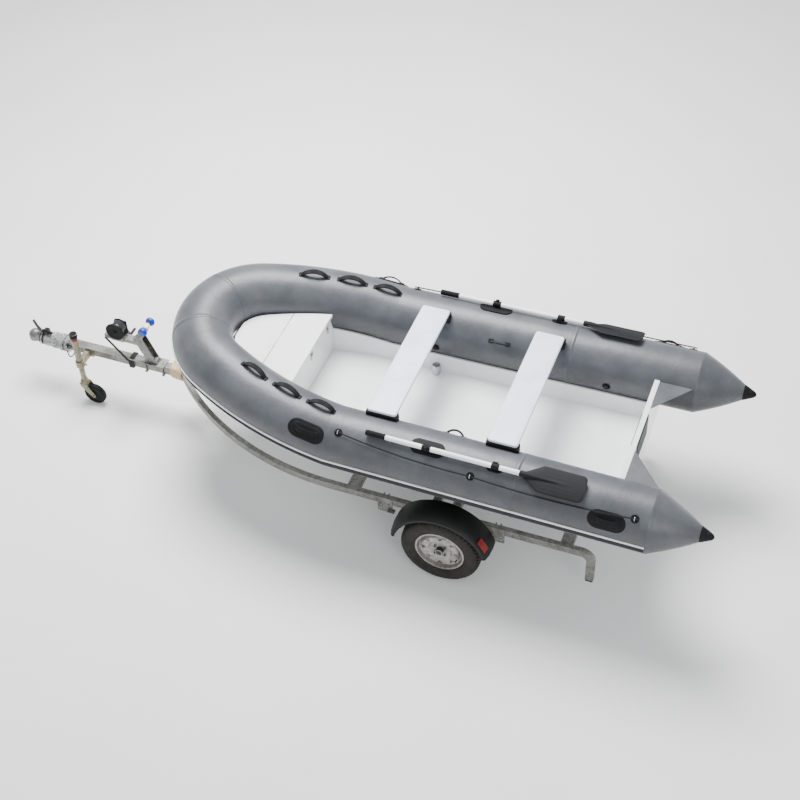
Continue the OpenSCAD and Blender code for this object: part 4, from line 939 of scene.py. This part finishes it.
def trailerFittings():
    low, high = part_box("bow_roller")
    centre = np.array((low + high) / 2)
    ends = []
    for s in (1, -1):
        profile = [[0, .082], [.018, .082], [.025, .0805], [.030, .077], [.034, .071], [.036, .062], [.0345, .051],
                   [.029, .0445], [.022, .0425], [.008, .042], [0, .042]]
        ends.append(lathe([[p, s * q] for p, q in profile], centre, 1, 72))
    addPiece("bowRollerEnds", ends, finish["bluePolyurethane"], bodyOf("bow_roller"), ("bow_roller",))
    core = [[0, .0265], [.0058, .0265], [.0058, .0255], [.017, .0245], [.019, .0225], [.0195, 0], [.019, -.0225],
            [.017, -.0245], [.0058, -.0255], [.0058, -.0265], [0, -.0265]]
    addPiece("bowRollerCore", [lathe(core, centre, 1, 56)], finish["paleVinyl"], bodyOf("bow_roller"))
    softened("winch_drum", 0.0012, finish["blackEnamel"])
    axle = np.array([4.000 + transomX, 0, 0.712])
    turn = np.linspace(0, math.tau, 90, endpoint=False)
    wound = [spun([[.0203, -.0305], [.0508, -.0305], [.0512, -.0290], [.0506, -.0150], [.0513, .0], [.0506, .0140],
                   [.0511, .0240], [.0506, .0255], [.0203, .0255]], axle, 1, 90)]
    web, rim = 0.0583, 0.0605
    disc = [[0, 0.068], [0.0068, 0.068], [0.0072, 0.0665], [0.0072, 0.0640], [0.0130, 0.0640], [0.0140, 0.0625],
            [0.0140, web],
            [0.0300, web], [0.0310, rim - 0.0008], [0.0350, rim - 0.0008], [0.0360, web], [0.0500, web],
            [0.0510, rim],
            [0.0600, rim], [0.0606, rim - 0.0009], [0.0640, rim - 0.0009], [0.0646, rim], [0.0735, rim],
            [0.0750, rim - 0.0015],
            [0.0750, 0.0490], [0.0735, 0.0477], [0, 0.0477]]
    gear = [lathe(disc, axle, 1, 96)]
    for k in range(6):
        lobe = axle + np.array([0.0225 * math.cos(k * math.pi / 3), 0, 0.0225 * math.sin(k * math.pi / 3)])
        gear.append(lathe([[0, web + 0.0012], [0.0040, web + 0.0012], [0.0046, web - 0.0005], [0, web - 0.0005]],
                          lobe, 1, 24))
    addPiece("winchGear", gear, finish["mouldedRubber"], bodyOf("winch_drum"))
    addPiece("woundWebbing", wound, finish["wovenWebbing"], bodyOf("winch_drum"))
    softened("jockey_wheel", 0.004, finish["mouldedRubber"])
    rod = np.column_stack([np.linspace(4.43, 3.80, 40), np.full(40, 0.047),
                           0.441 + 0.004 * np.sin(np.linspace(0, math.pi, 40))])
    addPiece("brakeRod", [tubeAlong(shift(rod), 0.0042, 12)], finish["rimZinc"], bodyOf("drawbar"))
    t = np.linspace(0, 1, 40)[:, None]
    turn = np.linspace(0, math.tau, 72, endpoint=False)[None, :]
    wrap = 1 + 0.035 * np.sin(turn * 5 + t * 13) * np.sin(t * 9) + 0.02 * np.sin(turn * 3 - t * 31)
    half = 0.078 - 0.020 * t
    y = half * wrap * np.sign(np.cos(turn)) * np.abs(np.cos(turn)) ** 0.55
    z = 0.415 + 0.058 * wrap * np.sign(np.sin(turn)) * np.abs(np.sin(turn)) ** 0.55
    x = 3.470 + 0.105 * t + 0 * turn
    addPiece("jointTape", [shellOf(shift(np.stack([x, y, z], axis=-1)))], finish["creasedTape"], bodyOf("drawbar"))


film = dict(start=4.475, length=0.215, height=0.396, half=0.064, taper=0.012, wall=0.0009, creaseMm=34,
            cordRadius=0.0032,
            turns=((4.700, 0.16, 0.0545), (4.712, -0.2, 0.0545), (4.728, 0.05, 0.0545), (4.505, 0.1, 0.066)))


def couplingWrap():
    # stretch film wound round the coupling: thin, clear, drawn into creases, and tied down with black cord
    material, tree, surface, place = newFinish("stretchFilm", Metallic=0.0, Transmission_Weight=0.75, IOR=1.2)
    crease = addNode(tree, "ShaderNodeTexNoise", {"Vector": place}, {"Scale": 1000 / film["creaseMm"], "Detail": 5.0,
                                                                     "Roughness": 0.6}).outputs["Fac"]
    colour = addNode(tree, "ShaderNodeValToRGB", {"Fac": crease}, stops=((0.4, "#c9cccd"), (0.6, "#fbfbfb")))
    rough = addNode(tree, "ShaderNodeMapRange", {"Value": crease}, {"To Min": 0.12, "To Max": 0.4})
    relief = addNode(tree, "ShaderNodeBump", {"Height": crease}, {"Distance": 0.007, "Strength": 1.0})
    dress(tree, surface, Base_Color=colour.outputs[0], Roughness=rough.outputs[0], Normal=relief.outputs[0])
    t = np.linspace(0, 1, 90)[:, None]
    turn = np.linspace(0, math.tau, 96, endpoint=False)[None, :]
    fold = 0.030 * np.sin(turn * 7 + t * 21) + 0.024 * np.sin(turn * 11 - t * 33) + 0.05 * np.sin(t
        * 26) * np.sin(turn * 2 + t * 9)
    half = film["half"] - film["taper"] * t
    rings = []
    for wall in (0.0, -film["wall"]):
        r = (half + wall) * (1 + fold)
        y = r * np.sign(np.cos(turn)) * np.abs(np.cos(turn)) ** 0.75
        z = film["height"] + r * np.sign(np.sin(turn)) * np.abs(np.sin(turn)) ** 0.75
        x = film["start"] + film["length"] * t
        rings.append(shift(np.stack(np.broadcast_arrays(x, y, z), axis=-1)))
    both = np.concatenate([rings[0], rings[1][::-1]])
    nu, nv = both.shape[:2]
    addPiece("couplingFilm", [(both.reshape(-1, 3), gridFaces(nu, nv, True).tolist())], material, bodyOf("coupler"))
    loops = []
    around = np.linspace(0, math.tau, 64, endpoint=False)
    for x, lean, r in film["turns"]:
        y, z = r * np.cos(around), r * np.sin(around)
        loops.append(tubeAlong(shift(np.column_stack([x + lean * y, y, film["height"] + z])), film["cordRadius"], 8,
                               closed=True))
    grip = np.column_stack([np.linspace(4.62, 4.70, 24), np.full(24, 0.018),
                            0.474 + 0.014 * np.sin(np.linspace(0, 2, 24))])
    loops.append(tubeAlong(shift(grip), 0.012, 16))
    hook = np.linspace(0, math.tau, 72, endpoint=False)
    loops.append(tubeAlong(shift(np.column_stack([4.455 + 0.035 * np.sin(hook), 0.062 + 0.012 * np.cos(hook * 2),
                                                  0.392 + 0.062 * np.cos(hook)])), 0.0045, 10, closed=True))
    addPiece("couplingTies", loops, finish["mouldedRubber"], bodyOf("coupler"))


def jockeyCap():
    low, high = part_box("jockey_mast")
    centre = (low + high) / 2
    cap = [[0, high.z + 0.0003], [0.019, high.z + 0.0003], [0.0205, high.z + 0.0010], [0.023, high.z + 0.0012],
           [0.027, high.z + 0.0008],
           [0.0298, high.z - 0.003], [0.0302, high.z - 0.030], [0.0296, high.z - 0.0350], [0.024, high.z - 0.0352],
           [0, high.z - 0.0352]]
    addPiece("jockeyCap", [lathe(cap, (centre.x, centre.y, 0), 2, 56)], finish["mouldedRubber"],
             bodyOf("jockey_mast"))
    band = [[0.0255, high.z - 0.066], [0.0262, high.z - 0.064], [0.0262, high.z - 0.042], [0.0255, high.z - 0.040]]
    addPiece("jockeyTapeBand", [spun(band, (centre.x, centre.y, 0), 2, 56)], finish["lensPlastic"],
             bodyOf("jockey_mast"))


def lockerLatch():
    # toggle latch on the locker's face and a lifting ring by its corner
    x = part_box("locker_front")[0].x
    shells = [slab((x - 0.004, -0.021, 0.880), (x + 0.0003, 0.021, 0.945), 0.0012, 0.004),
              slab((x - 0.013, -0.014, 0.892), (x - 0.004, 0.014, 0.934), 0.003, 0.004)]
    turn = np.linspace(0, math.tau, 48, endpoint=False)
    ring = np.column_stack([np.full(48, x - 0.006), -0.29 + 0.018 * np.cos(turn), 0.905 + 0.018 * np.sin(turn)])
    shells.append(tubeAlong(ring, 0.0028, 10, closed=True))
    shells.append(slab((x - 0.003, -0.306, 0.918), (x + 0.0003, -0.274, 0.936), 0.001, 0.003))
    addPiece("lockerLatch", shells, finish["polishedSteel"], bodyOf("locker_front"))


def deckFittings():
    softened("deck_fittings", 0.0015, finish["polishedSteel"])
    softened("hull", 0.004, finish["gelcoat"], 2, 24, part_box("hull")[0].x)


thwartSeats()
oars()
tyres()
trailerFittings()
couplingWrap()
jockeyCap()
lockerLatch()
deckFittings()
print("oars, wheels and fittings made")


# floor
def floorSheet():
    # one wide flat grid, far larger than the view
    n = 9
    x, y = np.meshgrid(np.linspace(-30, 30, n), np.linspace(-30, 30, n), indexing="ij")
    points = np.stack([x, y, np.full_like(x, -0.0005)], axis=-1).reshape(-1, 3)
    mesh = bpy.data.meshes.new("floor")
    mesh.from_pydata(points.tolist(), [], gridFaces(n, n, False, False).tolist())
    mesh.materials.append(studioFloor())
    floor = bpy.data.objects.new("floor", mesh)
    bpy.context.scene.collection.objects.link(floor)


floorSheet()
